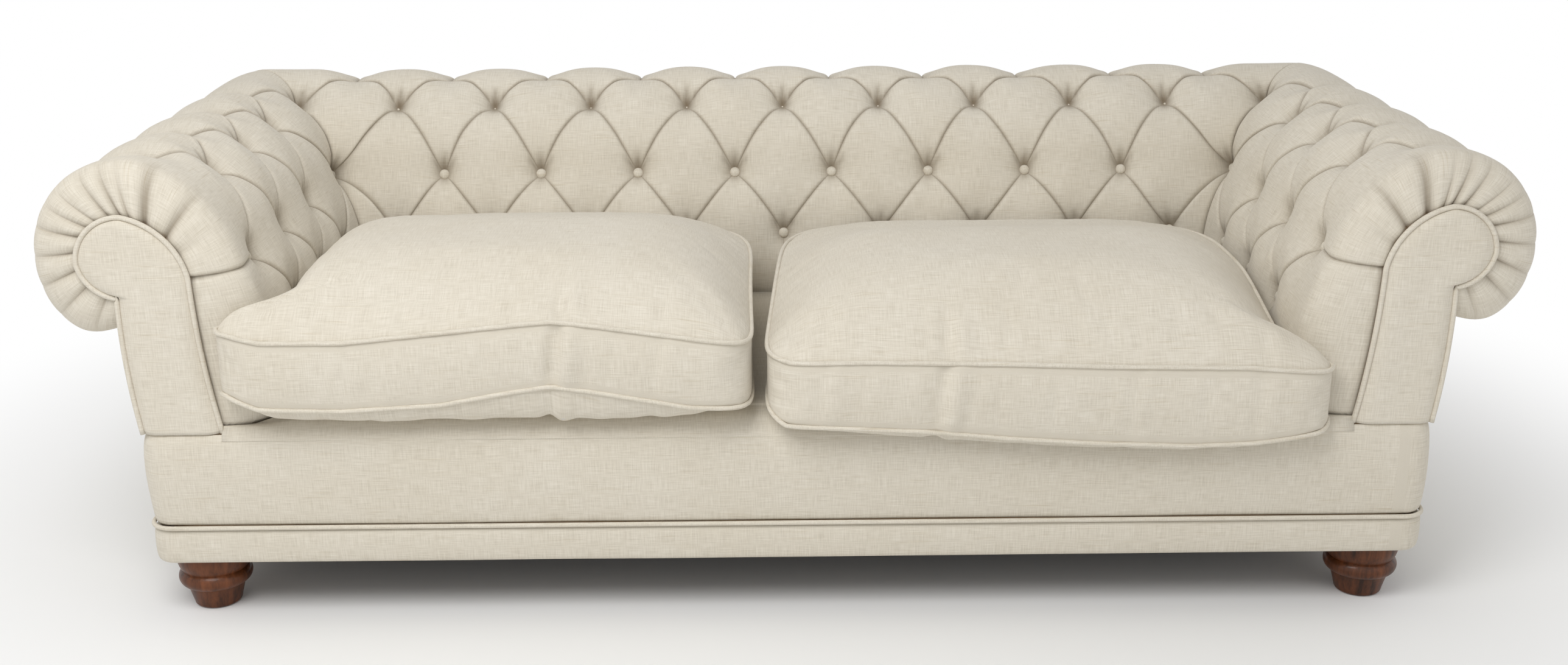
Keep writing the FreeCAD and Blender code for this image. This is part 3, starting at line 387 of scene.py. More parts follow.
# %% Places on the pads
turn_depth = 0.060
facing_back = 0.0146
turn_length = 0.084
fullness = 0.85
corner_start = {"back": 0.60, "right_arm": 0.45, "left_arm": 0.45}
corner_centre = {"back": roll_x, "right_arm": roll_depth, "left_arm": roll_depth}


def place(pad, along, reach, rise):
    if pad == "back":
        spot = Vector((along, front_y + roll_depth + reach, roll_height + rise))
    else:
        side = 1 if pad == "right_arm" else -1
        spot = Vector((side * (roll_x + reach), front_y + along, roll_height + rise))
    outward = abs(spot.x) - roll_x
    backward = spot.y - front_y - roll_depth
    if outward > 0 and backward > 0:
        rounding = max(outward, backward) / (outward ** 3 + backward ** 3) ** (1 / 3)
        spot.x = math.copysign(roll_x + outward * rounding, spot.x)
        spot.y = front_y + roll_depth + backward * rounding
    return spot


def to_the_mitre(pad, along, run, reach):
    start, centre = corner_start[pad], corner_centre[pad]
    if abs(along) <= start:
        return along
    share = (abs(along) - start) / (centre + section_at(run)[0] - start)
    return math.copysign(start + share * (centre + reach - start), along)


def on_pad(pad, along, run, height):
    reach, rise = section_at(run, height)
    along = to_the_mitre(pad, along, run, reach)
    if pad != "back" and along < turn_depth:
        angle = (turn_depth - along) / turn_length * math.pi / 2
        inward = 1 - max(math.cos(angle), 0.0) ** fullness
        edge_reach, edge_rise = scroll_edge_at(run)
        reach += (edge_reach - reach) * inward
        rise += (edge_rise - rise) * inward
        along = turn_depth - (turn_depth - facing_back) * math.sin(angle) ** fullness
        along -= (height - full_height(run)) * math.sin(angle) ** 3
    return place(pad, along, reach, rise)


print("crest of the back:", [round(c, 3) for c in on_pad("back", 0.0, row_runs[0], 0.025)])

# %% [markdown]
# ## Buttons
# The buttons stand in four rows, each half a pitch beside the row above. Nine full columns cross the back,
# and in each rear corner two more buttons sit where the back and an arm meet. The places of all of them are
# kept in one table for each pad, because the stuffing is shaped by its distance from the nearest button.

# %% Places of the buttons
back_pitch = 0.1815
arm_pitch = 0.176
first_arm_button = 0.151


def button_at(along, row):
    return np.array((along, row_runs[row]))


def corner_button(pad, row, sign=1):
    return button_at(sign * (corner_centre[pad] + section_at(row_runs[row])[0]), row)


full_columns = [column * back_pitch for column in range(-4, 5)]
half_columns = [(column - 4.5) * back_pitch for column in range(10)]
ears = [sign * corner_button("back", 1)[0] for sign in (-1, 1)]
pits = [sign * corner_button("back", 2)[0] for sign in (-1, 1)]
back_rows = (half_columns, full_columns + ears, half_columns[1:-1] + pits, full_columns)
even_columns = [first_arm_button + column * arm_pitch for column in range(4)]
odd_columns = [along + arm_pitch / 2 for along in even_columns[:3]]
arm_rows = (even_columns, odd_columns, even_columns[:3], odd_columns)
on_back = [button_at(along, row) for row, places in enumerate(back_rows) for along in places]
on_arm = [button_at(along, row) for row, places in enumerate(arm_rows) for along in places]
on_arm += [corner_button("left_arm", row) for row in (1, 2)]
buttons_on = {"back": np.array(on_back), "left_arm": np.array(on_arm), "right_arm": np.array(on_arm)}
top_row = {"back": np.array(half_columns)}
top_row["left_arm"] = top_row["right_arm"] = np.array(even_columns)
print("buttons that shape the back:", len(on_back), "and each arm:", len(on_arm))

# %% [markdown]
# ## Stuffing
# Between the buttons the stuffing is almost flat; it only dives down close to each button, and there the
# cloth is drawn up into a fan of short gathers. At the front of an arm the cloth is gathered too: round the
# scroll's head it lies in thirteen folds, with a small puff between each pair. Along the crest it sinks
# at each button of the top row, which gives the sofa its scalloped outline. One function returns the height
# of the stuffing anywhere, so patches that meet always agree on their common edge.

# %% Stuffing
nose_front = turn_depth - turn_length
front_gathers = ((0.060, 0.6), (0.147, 0.9), (0.224, 1.0), (0.300, 1.0), (0.372, 1.1), (0.427, 0.8),
                 (0.473, 0.6), (0.534, 1.0), (0.584, 1.1), (0.622, 0.7), (0.690, 2.3), (0.796, 1.7),
                 (0.88, 0.5))
gather_depth = 0.0060
puff_height = 0.0030
scallop_depth, scallop_width = 0.014, 0.040
dimple_share, dimple_width, hollow_width = 0.58, 0.021, 0.058
fan_gathers, fan_depth, fan_radius, fan_width = 9, 0.0026, 0.021, 0.013
row_pulls = (0.35, 1.0, 1.0, 1.0)


def smooth_step(value, start, end):
    share = min(max((value - start) / (end - start), 0.0), 1.0)
    return share * share * (3 - 2 * share)


def unevenness(spot, size=9.0):
    """Small soft lumps of stuffing, the same on every run."""
    return noise.noise(Vector((spot[0] * size, spot[1] * size, 3.7)))


def front_gathering(spot):
    """How far the front gathers lift or press the cloth, and how much shade is painted into their folds."""
    share = spot[1] / row_runs[2]
    place_of, strength = min(front_gathers, key=lambda gather: abs(share - gather[0]))
    gap = abs(share - place_of) * row_runs[2]
    fade = smooth_step(spot[0], 0.050 + 0.022 * strength, nose_front)
    press = strength * math.exp(-gap / (0.0022 + 0.0012 * strength)) * fade
    puff = (1 - math.exp(-(gap / 0.013) ** 2)) * smooth_step(spot[0], 0.060, nose_front + 0.02)
    # Painted shade: each fold is darkened as deep as it is pressed in.
    return puff_height * puff - gather_depth * press, min(0.5 * press, 0.6)


def stuffing_at(pad, spot):
    """Height of the stuffing, the painted shade in its dimple and gathers, and the pull of the nearest
    button.
    """
    offsets = spot - buttons_on[pad]
    distances = np.hypot(offsets[:, 0], offsets[:, 1])
    nearest = distances.argmin()
    distance = distances[nearest]
    sideways, downward = offsets[nearest]
    row = np.abs(buttons_on[pad][nearest][1] - np.array(row_runs)).argmin()
    dimple, hollow = (math.exp(-(distance / width) ** 2) for width in (dimple_width, hollow_width))
    pull = dimple_share * dimple + (1 - dimple_share) * hollow
    pull *= row_pulls[row]
    height = full_height(spot[1]) * (1 - pull) * (1 + 0.08 * unevenness(spot))
    valley = np.abs(spot[0] - top_row[pad]).min()
    over_crest = smooth_step(spot[1], 0.04, 0.20) * smooth_step(spot[1], row_runs[1], row_runs[0] - 0.02)
    height -= scallop_depth * (1 - pull) * over_crest * math.exp(-(valley / scallop_width) ** 2)
    angle = math.atan2(sideways, -downward)
    fan = math.exp(-((distance - fan_radius) / fan_width) ** 2) * smooth_step(abs(angle), 1.5, 0.7)
    gather = (0.5 + 0.5 * math.cos(fan_gathers * angle)) * fan
    height -= fan_depth * gather * row_pulls[row]
    # Painted shade: dark just above each button and along its fan of gathers, where shade falls in the
    # dimple.
    core = math.hypot(sideways, (downward + 0.005) / 1.4)
    dark = row_pulls[row] * max(0.92 * math.exp(-(core / 0.0125) ** 2), 0.55 * gather)
    if pad != "back" and spot[0] < first_arm_button and spot[1] < row_runs[2]:
        lifted, shade = front_gathering(spot)
        height += lifted
        dark = max(dark, shade)
    return height, dark, pull


print("gathers round the scroll's head:", len(front_gathers))

# %% [markdown]
# ## Pleats
# From each button two pleats run down to the next row. A pleat leaves the upper button almost level and
# reaches the lower one steeply, which gives tufts like fish scales. A Bezier curve with one control point
# draws that. No two pleats are folded alike, so each is bowed a little differently. Its points crowd together
# at both buttons, where the cloth is drawn in most.

# %% Pleats
pleat_steps = 18
skirt_steps = 12
nose_steps = 32
pleat_shares = [(1 - math.cos(math.pi * step / pleat_steps)) / 2 for step in range(pleat_steps + 1)]
double_shares = [share / 2 for share in pleat_shares] + [1 - share / 2 for share in pleat_shares[-2::-1]]
skirt_shares = [1 - math.cos(math.pi / 2 * step / skirt_steps) for step in range(skirt_steps + 1)]
back_crest = [1 - math.cos(math.pi / 2 * step / 36) for step in range(37)]
arm_crest = [step / 60 for step in range(61)]
for share, _ in front_gathers:
    crest_share = 1 - share * row_runs[2] / row_runs[0]
    if crest_share > 0.01:
        arm_crest += [crest_share - 0.005, crest_share, crest_share + 0.005]
arm_crest.sort()
crest_shares = {"back": back_crest, "left_arm": arm_crest, "right_arm": arm_crest}


def pleat(upper, lower):
    if lower[1] > row_runs[2] + 0.01:
        bow = np.array((0.50, 0.43))
    elif lower[1] < row_runs[1] + 0.01:
        bow = np.array((0.57, 0.28))
    elif lower[0] > upper[0]:
        bow = np.array((0.50, 0.41))
    else:
        bow = np.array((0.57, 0.34))
    jitter = (noise.noise(Vector((upper[0] * 31, lower[0] * 17, upper[1] * 11))),
              noise.noise(Vector((lower[0] * 29, upper[0] * 19, lower[1] * 13))))
    control = upper + (lower - upper) * (bow + 0.11 * np.array(jitter))
    return [(1 - t) ** 2 * upper + 2 * t * (1 - t) * control + t ** 2 * lower for t in pleat_shares]


def straight(start, end, shares):
    return [start + (end - start) * share for share in shares]


def along_mitre(pad, sign, start_run, end_run, shares):
    spots = []
    for share in shares:
        run = start_run + (end_run - start_run) * share
        spots.append(np.array((sign * (corner_centre[pad] + section_at(run)[0]), run)))
    return spots


print("steps along a pleat:", pleat_steps)

# %% [markdown]
# ## A patch of cloth
# Between the pleats the cloth is a patch with four sides. A Coons patch fills the space between four
# curves: it adds the two blends from side to side and takes away what was counted twice. On each patch a
# grid is laid and its points are moved, so that the grid's edges lie on the pleats. There the cloth is folded
# in: sharply where it tucks under, on a tuft's lower sides, and more softly on its upper ones. Each side is
# given the width of its fold, or 0 where there is no fold.

# %% Patches
pleat_depth = 0.0080
# Painted shade along each pleat: how dark its line is, and how fast it fades away from the pleat.
pleat_shade, pleat_shade_width = 0.62, 0.0013
tucked, open_side, upright, no_fold = 0.0018, 0.0042, 0.0036, 0.0


def add_patch(bm, pad, sides, shares, folds):
    """Lays a grid between four sides, (bottom, top, left, right), and lifts it to the stuffing."""
    bottom, top_side, left, right = sides
    across, upward = shares
    weave = bm.verts.layers.float_vector["weave"]
    fold_shade = bm.verts.layers.float["fold_shade"]
    columns, rows = len(across) - 1, len(upward) - 1
    for vert in bmesh.ops.create_grid(bm, x_segments=columns, y_segments=rows, size=0.5)["verts"]:
        i = round((vert.co.x + 0.5) * columns)
        j = round((vert.co.y + 0.5) * rows)
        a, b = across[i], upward[j]
        spot = (1 - b) * bottom[i] + b * top_side[i] + (1 - a) * left[j] + a * right[j]
        spot = spot - (1 - a) * (1 - b) * bottom[0] - a * (1 - b) * bottom[-1]
        spot = spot - (1 - a) * b * top_side[0] - a * b * top_side[-1]
        height, dark, pull = stuffing_at(pad, spot)
        crease = 0.0
        for side, width in zip((bottom[i], top_side[i], left[j], right[j]), folds):
            if width:
                gap = math.dist(spot, side)
                crease = max(crease, math.exp(-gap / width))
                # Painted shade: a thin dark line along each pleat, where the fold lies in shade.
                dark = max(dark, pleat_shade * math.exp(-gap / pleat_shade_width))
        vert[weave] = (spot[0], 0, spot[1])
        vert[fold_shade] = dark
        vert.co = on_pad(pad, spot[0], spot[1], height - pleat_depth * (1 - pull) * crease)


def new_cloth():
    bm = bmesh.new()
    bm.verts.layers.float_vector.new("weave")
    bm.verts.layers.float.new("fold_shade")
    return bm


def lift(share, width, power):
    """Rises from 0 at an edge to 1 at width, steeply at first."""
    return 1 - (1 - min(max(share, 0.0) / width, 1.0)) ** power


print("depth of a pleat, m:", pleat_depth)

# %% [markdown]
# ## Tufts, crest and skirt
# A tuft has pleats on its four sides. The crest's tufts reach over the roll to the tacks at its back, and
# the skirt's run straight down behind the cushions.

# %% Tufts
def add_tuft(bm, pad, upper, left, right, lower, mitre_left=None, mitre_right=None):
    left_lower = mitre_left or pleat(left, lower)
    right_lower = mitre_right or pleat(right, lower)
    add_patch(bm, pad, (pleat(upper, right), left_lower, pleat(upper, left), right_lower),
              (pleat_shares, pleat_shares), (open_side, tucked, open_side, tucked))


def add_crest(bm, pad, left, right, valley):
    bottom = pleat(left, valley) + pleat(right, valley)[-2::-1]
    tacks = straight(np.array((left[0], 0)), np.array((right[0], 0)), double_shares)
    sides = [straight(spot, np.array((spot[0], 0)), crest_shares[pad]) for spot in (left, right)]
    add_patch(bm, pad, (bottom, tacks, *sides), (double_shares, crest_shares[pad]),
              (tucked, no_fold, upright, upright))


def add_skirt(bm, pad, left, right, peak):
    top_side = pleat(peak, left)[::-1] + pleat(peak, right)[1:]
    seat = straight(np.array((left[0], seat_run)), np.array((right[0], seat_run)), double_shares)
    sides = [straight(spot, np.array((spot[0], seat_run)), skirt_shares) for spot in (left, right)]
    add_patch(bm, pad, (top_side, seat, *sides), (double_shares, skirt_shares),
              (open_side, no_fold, upright, upright))


print("folds of a tuft, m:", open_side, tucked)

# %% [markdown]
# ## The rear corners
# In each rear corner a crest patch runs round the roll to the mitre at full height, so that the rolls of
# back and arm meet in one soft corner. Below it a tuft and a skirt end in the mitre's own pleat.

# %% Corner patches
def add_corner(bm, pad, sign, columns):
    """columns are the last buttons of rows 0 to 3 before the corner."""
    first, second, third, fourth = (button_at(sign * along, row) for row, along in enumerate(columns))
    ear = corner_button(pad, 1, sign)
    pit = corner_button(pad, 2, sign)
    tacks = np.array((sign * (corner_centre[pad] + section_points[0][0]), 0))
    top_side = straight(np.array((first[0], 0)), tacks, pleat_shares)
    inner = straight(first, np.array((first[0], 0)), crest_shares[pad])
    outer = along_mitre(pad, sign, row_runs[1], 0, crest_shares[pad])
    add_patch(bm, pad, (pleat(first, ear), top_side, inner, outer), (pleat_shares, crest_shares[pad]),
              (tucked, no_fold, upright, no_fold))

    mitre = along_mitre(pad, sign, row_runs[1], row_runs[2], pleat_shares)
    if sign > 0:
        add_tuft(bm, pad, first, second, ear, pit, mitre_right=mitre)
        add_tuft(bm, pad, second, third, pit, fourth)
    else:
        add_tuft(bm, pad, first, ear, second, pit, mitre_left=mitre)
        add_tuft(bm, pad, second, pit, third, fourth)

    top_side = pleat(pit, fourth)[::-1]
    across = [1 - share for share in pleat_shares[::-1]]
    seat_corner = np.array((sign * (corner_centre[pad] + section_points[-1][0]), seat_run))
    seat = straight(np.array((fourth[0], seat_run)), seat_corner, across)
    inner = straight(fourth, np.array((fourth[0], seat_run)), skirt_shares)
    outer = along_mitre(pad, sign, row_runs[2], seat_run, skirt_shares)
    add_patch(bm, pad, (top_side, seat, inner, outer), (across, skirt_shares),
              (open_side, no_fold, upright, upright))


print("corner button, m:", [round(float(c), 3) for c in corner_button("back", 1)])

# %% [markdown]
# ## Closing a pad
# Behind the cover the padding goes round the top board and down to the seat. The row of edges at the tacks
# is extruded along that hidden way, the last row is bridged to the seat's edge, and the ends are filled.

# %% Closing
hidden_way = ((-0.0077, -0.103), (-0.0077, 0.0253), (-0.049, 0.0253), (-0.049, -0.268))
board_back = 0.0367


def border_at(bm, run):
    """The open edges that lie at this run of the cloth."""
    weave = bm.verts.layers.float_vector["weave"]
    return [edge for edge in bm.edges
            if edge.is_boundary and all(abs(vert[weave].z - run) < 1e-5 for vert in edge.verts)]


def open_edges(bm):
    return [edge for edge in bm.edges if edge.is_boundary]


def extruded(bm, edges):
    made = bmesh.ops.extrude_edge_only(bm, edges=edges)["geom"]
    return ([part for part in made if isinstance(part, bmesh.types.BMVert)],
            [part for part in made if isinstance(part, bmesh.types.BMEdge)])


def close_pad(bm, pad):
    weave = bm.verts.layers.float_vector["weave"]
    bmesh.ops.remove_doubles(bm, verts=bm.verts, dist=1e-5)
    seat_edges = border_at(bm, seat_run)
    edges = border_at(bm, 0.0)
    front = [edge for edge in bm.edges if edge.is_boundary and pad != "back"
             and all(abs(vert[weave].x + turn_length - turn_depth) < 1e-5 for vert in edge.verts)]
    for vert in extruded(bm, front)[0]:
        vert.co.y = front_y + board_back
    for reach, rise in hidden_way:
        verts, edges = extruded(bm, edges)
        for vert in verts:
            along = to_the_mitre(pad, vert[weave].x, 0.0, reach)
            if pad != "back":
                along = max(along, board_back)
            vert.co = place(pad, along, reach, rise)
    bmesh.ops.bridge_loops(bm, edges=edges + seat_edges)
    bmesh.ops.holes_fill(bm, edges=open_edges(bm), sides=0)
    bmesh.ops.recalc_face_normals(bm, faces=bm.faces)
    print(pad, "faces:", len(bm.faces), "open edges:", len(open_edges(bm)))


def add_piece(bm, name, body, material, *replaced):
    """Turns a bmesh into a finished piece that rides on a body and stands for CAD nodes."""
    mesh = bpy.data.meshes.new(name)
    bm.to_mesh(mesh)
    bm.free()
    mesh.shade_smooth()
    mesh.materials.append(material)
    piece = bpy.data.objects.new(name, mesh)
    scene.collection.objects.link(piece)
    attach(piece, body)
    if replaced:
        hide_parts(*replaced)
    return piece


def subdivide(piece):
    smoother = piece.modifiers.new("smoother", "SUBSURF")
    smoother.levels = 1
    smoother.render_levels = 1

# %% [markdown]
# ## The back
# Nine columns of buttons cross the back, with half columns between them. The same four calls, crest, two
# rows of tufts and skirt, are repeated along it, and the two corners close it off.

# %% The back
bm = new_cloth()
for column in range(-4, 5):
    middle = column * back_pitch
    low, high = middle - back_pitch / 2, middle + back_pitch / 2
    add_crest(bm, "back", button_at(low, 0), button_at(high, 0), button_at(middle, 1))
    if abs(column) < 4:
        add_tuft(bm, "back", button_at(middle, 1), button_at(low, 2), button_at(high, 2),
                 button_at(middle, 3))
for column in range(-4, 4):
    middle = (column + 0.5) * back_pitch
    low, high = middle - back_pitch / 2, middle + back_pitch / 2
    add_tuft(bm, "back", button_at(middle, 0), button_at(low, 1), button_at(high, 1), button_at(middle, 2))
    add_skirt(bm, "back", button_at(low, 3), button_at(high, 3), button_at(middle, 2))
for sign in (-1, 1):
    add_corner(bm, "back", sign, [share * back_pitch for share in (4.5, 4, 3.5, 4)])
close_pad(bm, "back")
tufted_back = add_piece(bm, "tufted_back", "sofa", linen, "back_pad")
subdivide(tufted_back)

# %% [markdown]
# ## The arms
# An arm has the same tufts, but its front is different. Round the scroll's head the gathered nose turns in
# to the facing, and below the front pleat a smooth cheek runs down beside the cushion.

# %% The arms
front_shares = [(step / nose_steps) ** 0.9 for step in range(nose_steps + 1)]


def add_nose(bm, pad):
    tacks, head = np.array((first_arm_button, 0.0)), button_at(first_arm_button, 0)
    knee, chin = button_at(first_arm_button + arm_pitch / 2, 1), button_at(first_arm_button, 2)
    zigzag = straight(head, tacks, crest_shares[pad])[::-1] + pleat(head, knee)[1:] + pleat(knee, chin)[1:]
    upward = [spot[1] / row_runs[2] for spot in zigzag]
    edge = [np.array((nose_front, spot[1])) for spot in zigzag]
    tack_side = straight(edge[0], zigzag[0], front_shares)
    pleat_side = straight(edge[-1], zigzag[-1], front_shares)
    add_patch(bm, pad, (tack_side, pleat_side, edge, zigzag), (front_shares, upward),
              (no_fold, tucked, no_fold, upright))


def add_cheek(bm, pad):
    chin, foot = button_at(first_arm_button, 2), button_at(first_arm_button + arm_pitch / 2, 3)
    front, corner = np.array((nose_front, row_runs[2])), np.array((nose_front, seat_run))
    seat_end = np.array((foot[0], seat_run))
    top_side = straight(front, chin, front_shares) + pleat(chin, foot)[1:]
    widths = shares_along(top_side)
    sides = (straight(front, corner, skirt_shares), straight(foot, seat_end, skirt_shares))
    add_patch(bm, pad, (top_side, straight(corner, seat_end, widths), *sides), (widths, skirt_shares),
              (open_side, no_fold, no_fold, upright))


for side in ("left", "right"):
    pad = side + "_arm"
    bm = new_cloth()
    add_nose(bm, pad)
    add_cheek(bm, pad)
    for column in range(3):
        low = first_arm_button + column * arm_pitch
        middle, high = low + arm_pitch / 2, low + arm_pitch
        add_crest(bm, pad, button_at(low, 0), button_at(high, 0), button_at(middle, 1))
        if column < 2:
            add_tuft(bm, pad, button_at(middle, 1), button_at(low, 2), button_at(high, 2),
                     button_at(middle, 3))
            add_tuft(bm, pad, button_at(high, 0), button_at(middle, 1), button_at(middle + arm_pitch, 1),
                     button_at(high, 2))
            add_skirt(bm, pad, button_at(middle, 3), button_at(middle + arm_pitch, 3), button_at(high, 2))
    last = first_arm_button + 3 * arm_pitch
    add_corner(bm, pad, 1, (last, last - arm_pitch / 2, last - arm_pitch, last - arm_pitch / 2))
    close_pad(bm, pad)
    tufted_arm = add_piece(bm, "tufted_" + pad, "sofa", linen, pad + "_pad", pad + "_roll_end",
                           pad + "_front_panel")
    subdivide(tufted_arm)

# %% [markdown]
# ## Covered buttons
# A covered button is a shallow dome of the same linen, pulled down into the padding until the pleats close
# round its rim. A short profile spun round gives one button; copies of it are turned to stand square on the
# pad in each dimple. The upper two rows are drawn in so hard that the cloth closes over them.

# %% Buttons
button_profile = ((0.0, 0.0062), (0.0035, 0.0059), (0.0066, 0.0046), (0.0088, 0.0024), (0.0096, 0.0),
                  (0.0090, -0.0026), (0.0, -0.0040))
button_stands = (-0.006, -0.006, 0.003, 0.003)


def add_button(bm, pad, along, row):
    """Spins one button and stands it square on the pad."""
    start = len(bm.verts)
    chain = [bm.verts.new((radius, 0, height)) for radius, height in button_profile]
    edges = [bm.edges.new(pair) for pair in zip(chain, chain[1:])]
    bmesh.ops.spin(bm, geom=chain + edges, axis=(0, 0, 1), cent=(0, 0, 0), steps=18, angle=math.tau,
                   use_merge=True)
    bm.verts.ensure_lookup_table()
    verts = bm.verts[start:]
    foot = on_pad(pad, along, row_runs[row], 0.0)
    outward = (on_pad(pad, along, row_runs[row], 0.02) - foot).normalized()
    turn = outward.to_track_quat("Z", "Y").to_matrix().to_4x4()
    spot = Matrix.Translation(foot + outward * button_stands[row]) @ turn
    bmesh.ops.transform(bm, matrix=spot, verts=verts)


def add_buttons(pad, rows, node):
    bm = bmesh.new()
    for row, places in enumerate(rows):
        for along in places:
            add_button(bm, pad, along, row)
    bmesh.ops.remove_doubles(bm, verts=bm.verts, dist=1e-6)
    bmesh.ops.recalc_face_normals(bm, faces=bm.faces)
    print(pad, "buttons:", sum(len(places) for places in rows))
    return add_piece(bm, "covered_" + node, "sofa", trim, node)


add_buttons("back", back_rows, "back_buttons")
for side in ("left", "right"):
    add_buttons(side + "_arm", arm_rows, side + "_arm_buttons")

# %% [markdown]
# ## Piping
# Piping is a cord inside a narrow strip of linen, sewn into a seam. A curve with a round bevel follows the
# seam, and is then made a mesh so that it is like every other piece.

# %% Piping
def add_piping(name, lines, radius, closed, body, *replaced):
    path = bpy.data.curves.new(name, "CURVE")
    path.dimensions = "3D"
    path.bevel_depth = radius
    path.bevel_resolution = 3
    path.use_fill_caps = True
    for points in lines:
        spline = path.splines.new("POLY")
        spline.points.add(len(points) - 1)
        for point, spot in zip(spline.points, points):
            point.co = (*spot, 1)
        spline.use_cyclic_u = closed
    drawn = bpy.data.objects.new(name + "_path", path)
    scene.collection.objects.link(drawn)
    bm = bmesh.new()
    bm.from_mesh(bpy.data.meshes.new_from_object(drawn.evaluated_get(bpy.context.evaluated_depsgraph_get())))
    bpy.data.objects.remove(drawn)
    bmesh.ops.remove_doubles(bm, verts=bm.verts, dist=1e-6)
    bmesh.ops.recalc_face_normals(bm, faces=bm.faces)
    return add_piece(bm, name, body, trim, *replaced)


print("piping is drawn by a curve, then made a mesh")

# %% [markdown]
# ## Facings
# A facing is a padded panel that hides the tacks on the scroll. A grid is laid between the scroll's outer and
# inner edges, with its last row drawn together at the top of the head, and its middle comes forward for a
# softly domed face. The rim is then extruded back to the board, and piping follows the rim.

# %% Facings
facing_thickness = 0.0135
facing_rim = 0.0080
facing_cord_radius = 0.0040
facing_cord_out = 0.0038
facing_cord_depth = 0.0085
outer_side = outer_edge[:-1] + head_edge[:49]
inner_side = inner_edge[::-1][:-1] + head_edge[:47:-1]
facing_edge = outer_edge[:-1] + head_edge[:-1] + inner_edge


def point_along(points, share):
    places = shares_along(points)
    return np.array([np.interp(share, places, [point[axis] for point in points]) for axis in (0, 1)])


def add_facing(side, sign):
    bm = new_cloth()
    weave = bm.verts.layers.float_vector["weave"]
    for vert in bmesh.ops.create_grid(bm, x_segments=18, y_segments=64, size=0.5)["verts"]:
        a, b = vert.co.x + 0.5, vert.co.y + 0.5
        a = (1 - math.cos(math.pi * a)) / 2
        reach, rise = (1 - a) * point_along(outer_side, b) + a * point_along(inner_side, b)
        dome = lift(a, 0.22, 2.2) * lift(1 - a, 0.22, 2.2) * lift(1 - b, 0.10, 2.2)
        vert.co = (sign * (roll_x + reach), front_y + facing_rim * (1 - dome), roll_height + rise)
        vert[weave] = (reach, 0, rise)
    bmesh.ops.remove_doubles(bm, verts=bm.verts, dist=1e-6)
    for vert in extruded(bm, open_edges(bm))[0]:
        vert.co.y = front_y + facing_thickness
    bmesh.ops.holes_fill(bm, edges=open_edges(bm), sides=0)
    bmesh.ops.triangulate(bm, faces=[face for face in bm.faces if len(face.verts) > 4])
    bmesh.ops.recalc_face_normals(bm, faces=bm.faces)
    facing = add_piece(bm, side + "_facing_panel", "sofa", linen, side + "_arm_facing")
    cord_y = front_y + facing_cord_depth
    line = [Vector((sign * (roll_x + reach), cord_y, roll_height + rise)) for reach, rise in facing_edge]
    grown = []
    for index, spot in enumerate(line):
        heading = (line[min(index + 1, len(line) - 1)] - line[max(index - 1, 0)]).normalized()
        grown.append(spot + heading.cross(Vector((0, -1, 0))) * sign * facing_cord_out)
    add_piping(side + "_facing_cord", [grown], facing_cord_radius, False, "sofa", side + "_facing_piping")


add_facing("left", -1)
add_facing("right", 1)
print("facings and their piping done")

# %% [markdown]
# ## Base
# The base is a frame of rails under a padded border, with a narrower band below it and a cord of piping
# between. All of them go round the same rounded rectangle. A ring of points on that line is extruded step by
# step through a profile: each step says how far out from the line, and how high.

# %% The base's outline
base_half = 0.991
base_front, base_back = front_y, front_y + 0.860
front_corner, rear_corner = 0.034, 0.030


def base_line(spacing=0.02):
    """Points round the base, each with its outward direction."""
    spots = []
    corners = ((base_half, base_front, front_corner, -math.pi / 2),
               (base_half, base_back, rear_corner, 0.0),
               (-base_half, base_back, rear_corner, math.pi / 2),
               (-base_half, base_front, front_corner, math.pi))
    for x, y, radius, start in corners:
        centre = Vector((x - math.copysign(radius, x), y + (radius if y < 0 else -radius), 0))
        for step in range(9):
            turn = start + step / 8 * math.pi / 2
            outward = Vector((math.cos(turn), math.sin(turn), 0))
            spots.append((centre + outward * radius, outward))
    line = []
    for (spot, outward), (after, _) in zip(spots, spots[1:] + spots[:1]):
        line.append((spot, outward))
        parts = int((after - spot).length / spacing)
        if parts > 2:
            facing = Vector((after - spot).normalized().cross(Vector((0, 0, 1))))
            line += [(spot.lerp(after, part / parts), facing) for part in range(1, parts)]
    return line


outline = base_line()
lengths = [0.0]
for (spot, _), (after, _) in zip(outline, outline[1:]):
    lengths.append(lengths[-1] + (after - spot).length)
print("points round the base:", len(outline), "length, m:", round(lengths[-1], 2))

# %% Border and band
def add_ring(name, profile, material, node, ripple):
    """A ring of padding round the base, extruded through its profile and closed."""
    bm = new_cloth()
    weave = bm.verts.layers.float_vector["weave"]
    ring = bmesh.ops.create_circle(bm, segments=len(outline), radius=1.0)["verts"]
    edges = bm.edges[:]
    rings = [ring]
    for _ in profile[1:]:
        verts, edges = extruded(bm, edges)
        rings.append(verts)
    for verts, (out, height) in zip(rings, profile):
        for vert, (spot, outward), length in zip(verts, outline, lengths):
            wave = ripple * noise.noise(Vector((length * 5, height * 12, 1.3))) if out > -0.004 else 0.0
            vert.co = spot + outward * (out + wave) + Vector((0, 0, height))
            vert[weave] = (length, 0, height)
    bmesh.ops.bridge_loops(bm, edges=open_edges(bm))
    bmesh.ops.recalc_face_normals(bm, faces=bm.faces)
    piece = add_piece(bm, name, "sofa", material, node)
    subdivide(piece)
    return piece


border_profile = ((-0.009, 0.1550), (0.0, 0.1560), (0.0026, 0.164), (0.0052, 0.192), (0.0068, 0.230),
                  (0.0060, 0.268), (0.0028, 0.293), (-0.0012, 0.3022), (-0.004, 0.3055), (-0.009, 0.3056),
                  (-0.0096, 0.24))
band_profile = ((-0.009, 0.0935), (-0.001, 0.0932), (0.0028, 0.0950), (0.0046, 0.106), (0.0052, 0.123),
                (0.0046, 0.140), (0.0026, 0.1500), (-0.009, 0.1515), (-0.0096, 0.135))
border = add_ring("padded_border", border_profile, linen, "base_border", 0.0022)
band = add_ring("padded_band", band_profile, linen, "base_band", 0.0012)
band_cord_radius = 0.0036
band_cord_level = 0.1535
cord = [spot + outward * band_cord_radius + Vector((0, 0, band_cord_level)) for spot, outward in outline]
add_piping("band_cord", [cord], band_cord_radius, True, "sofa", "band_piping")

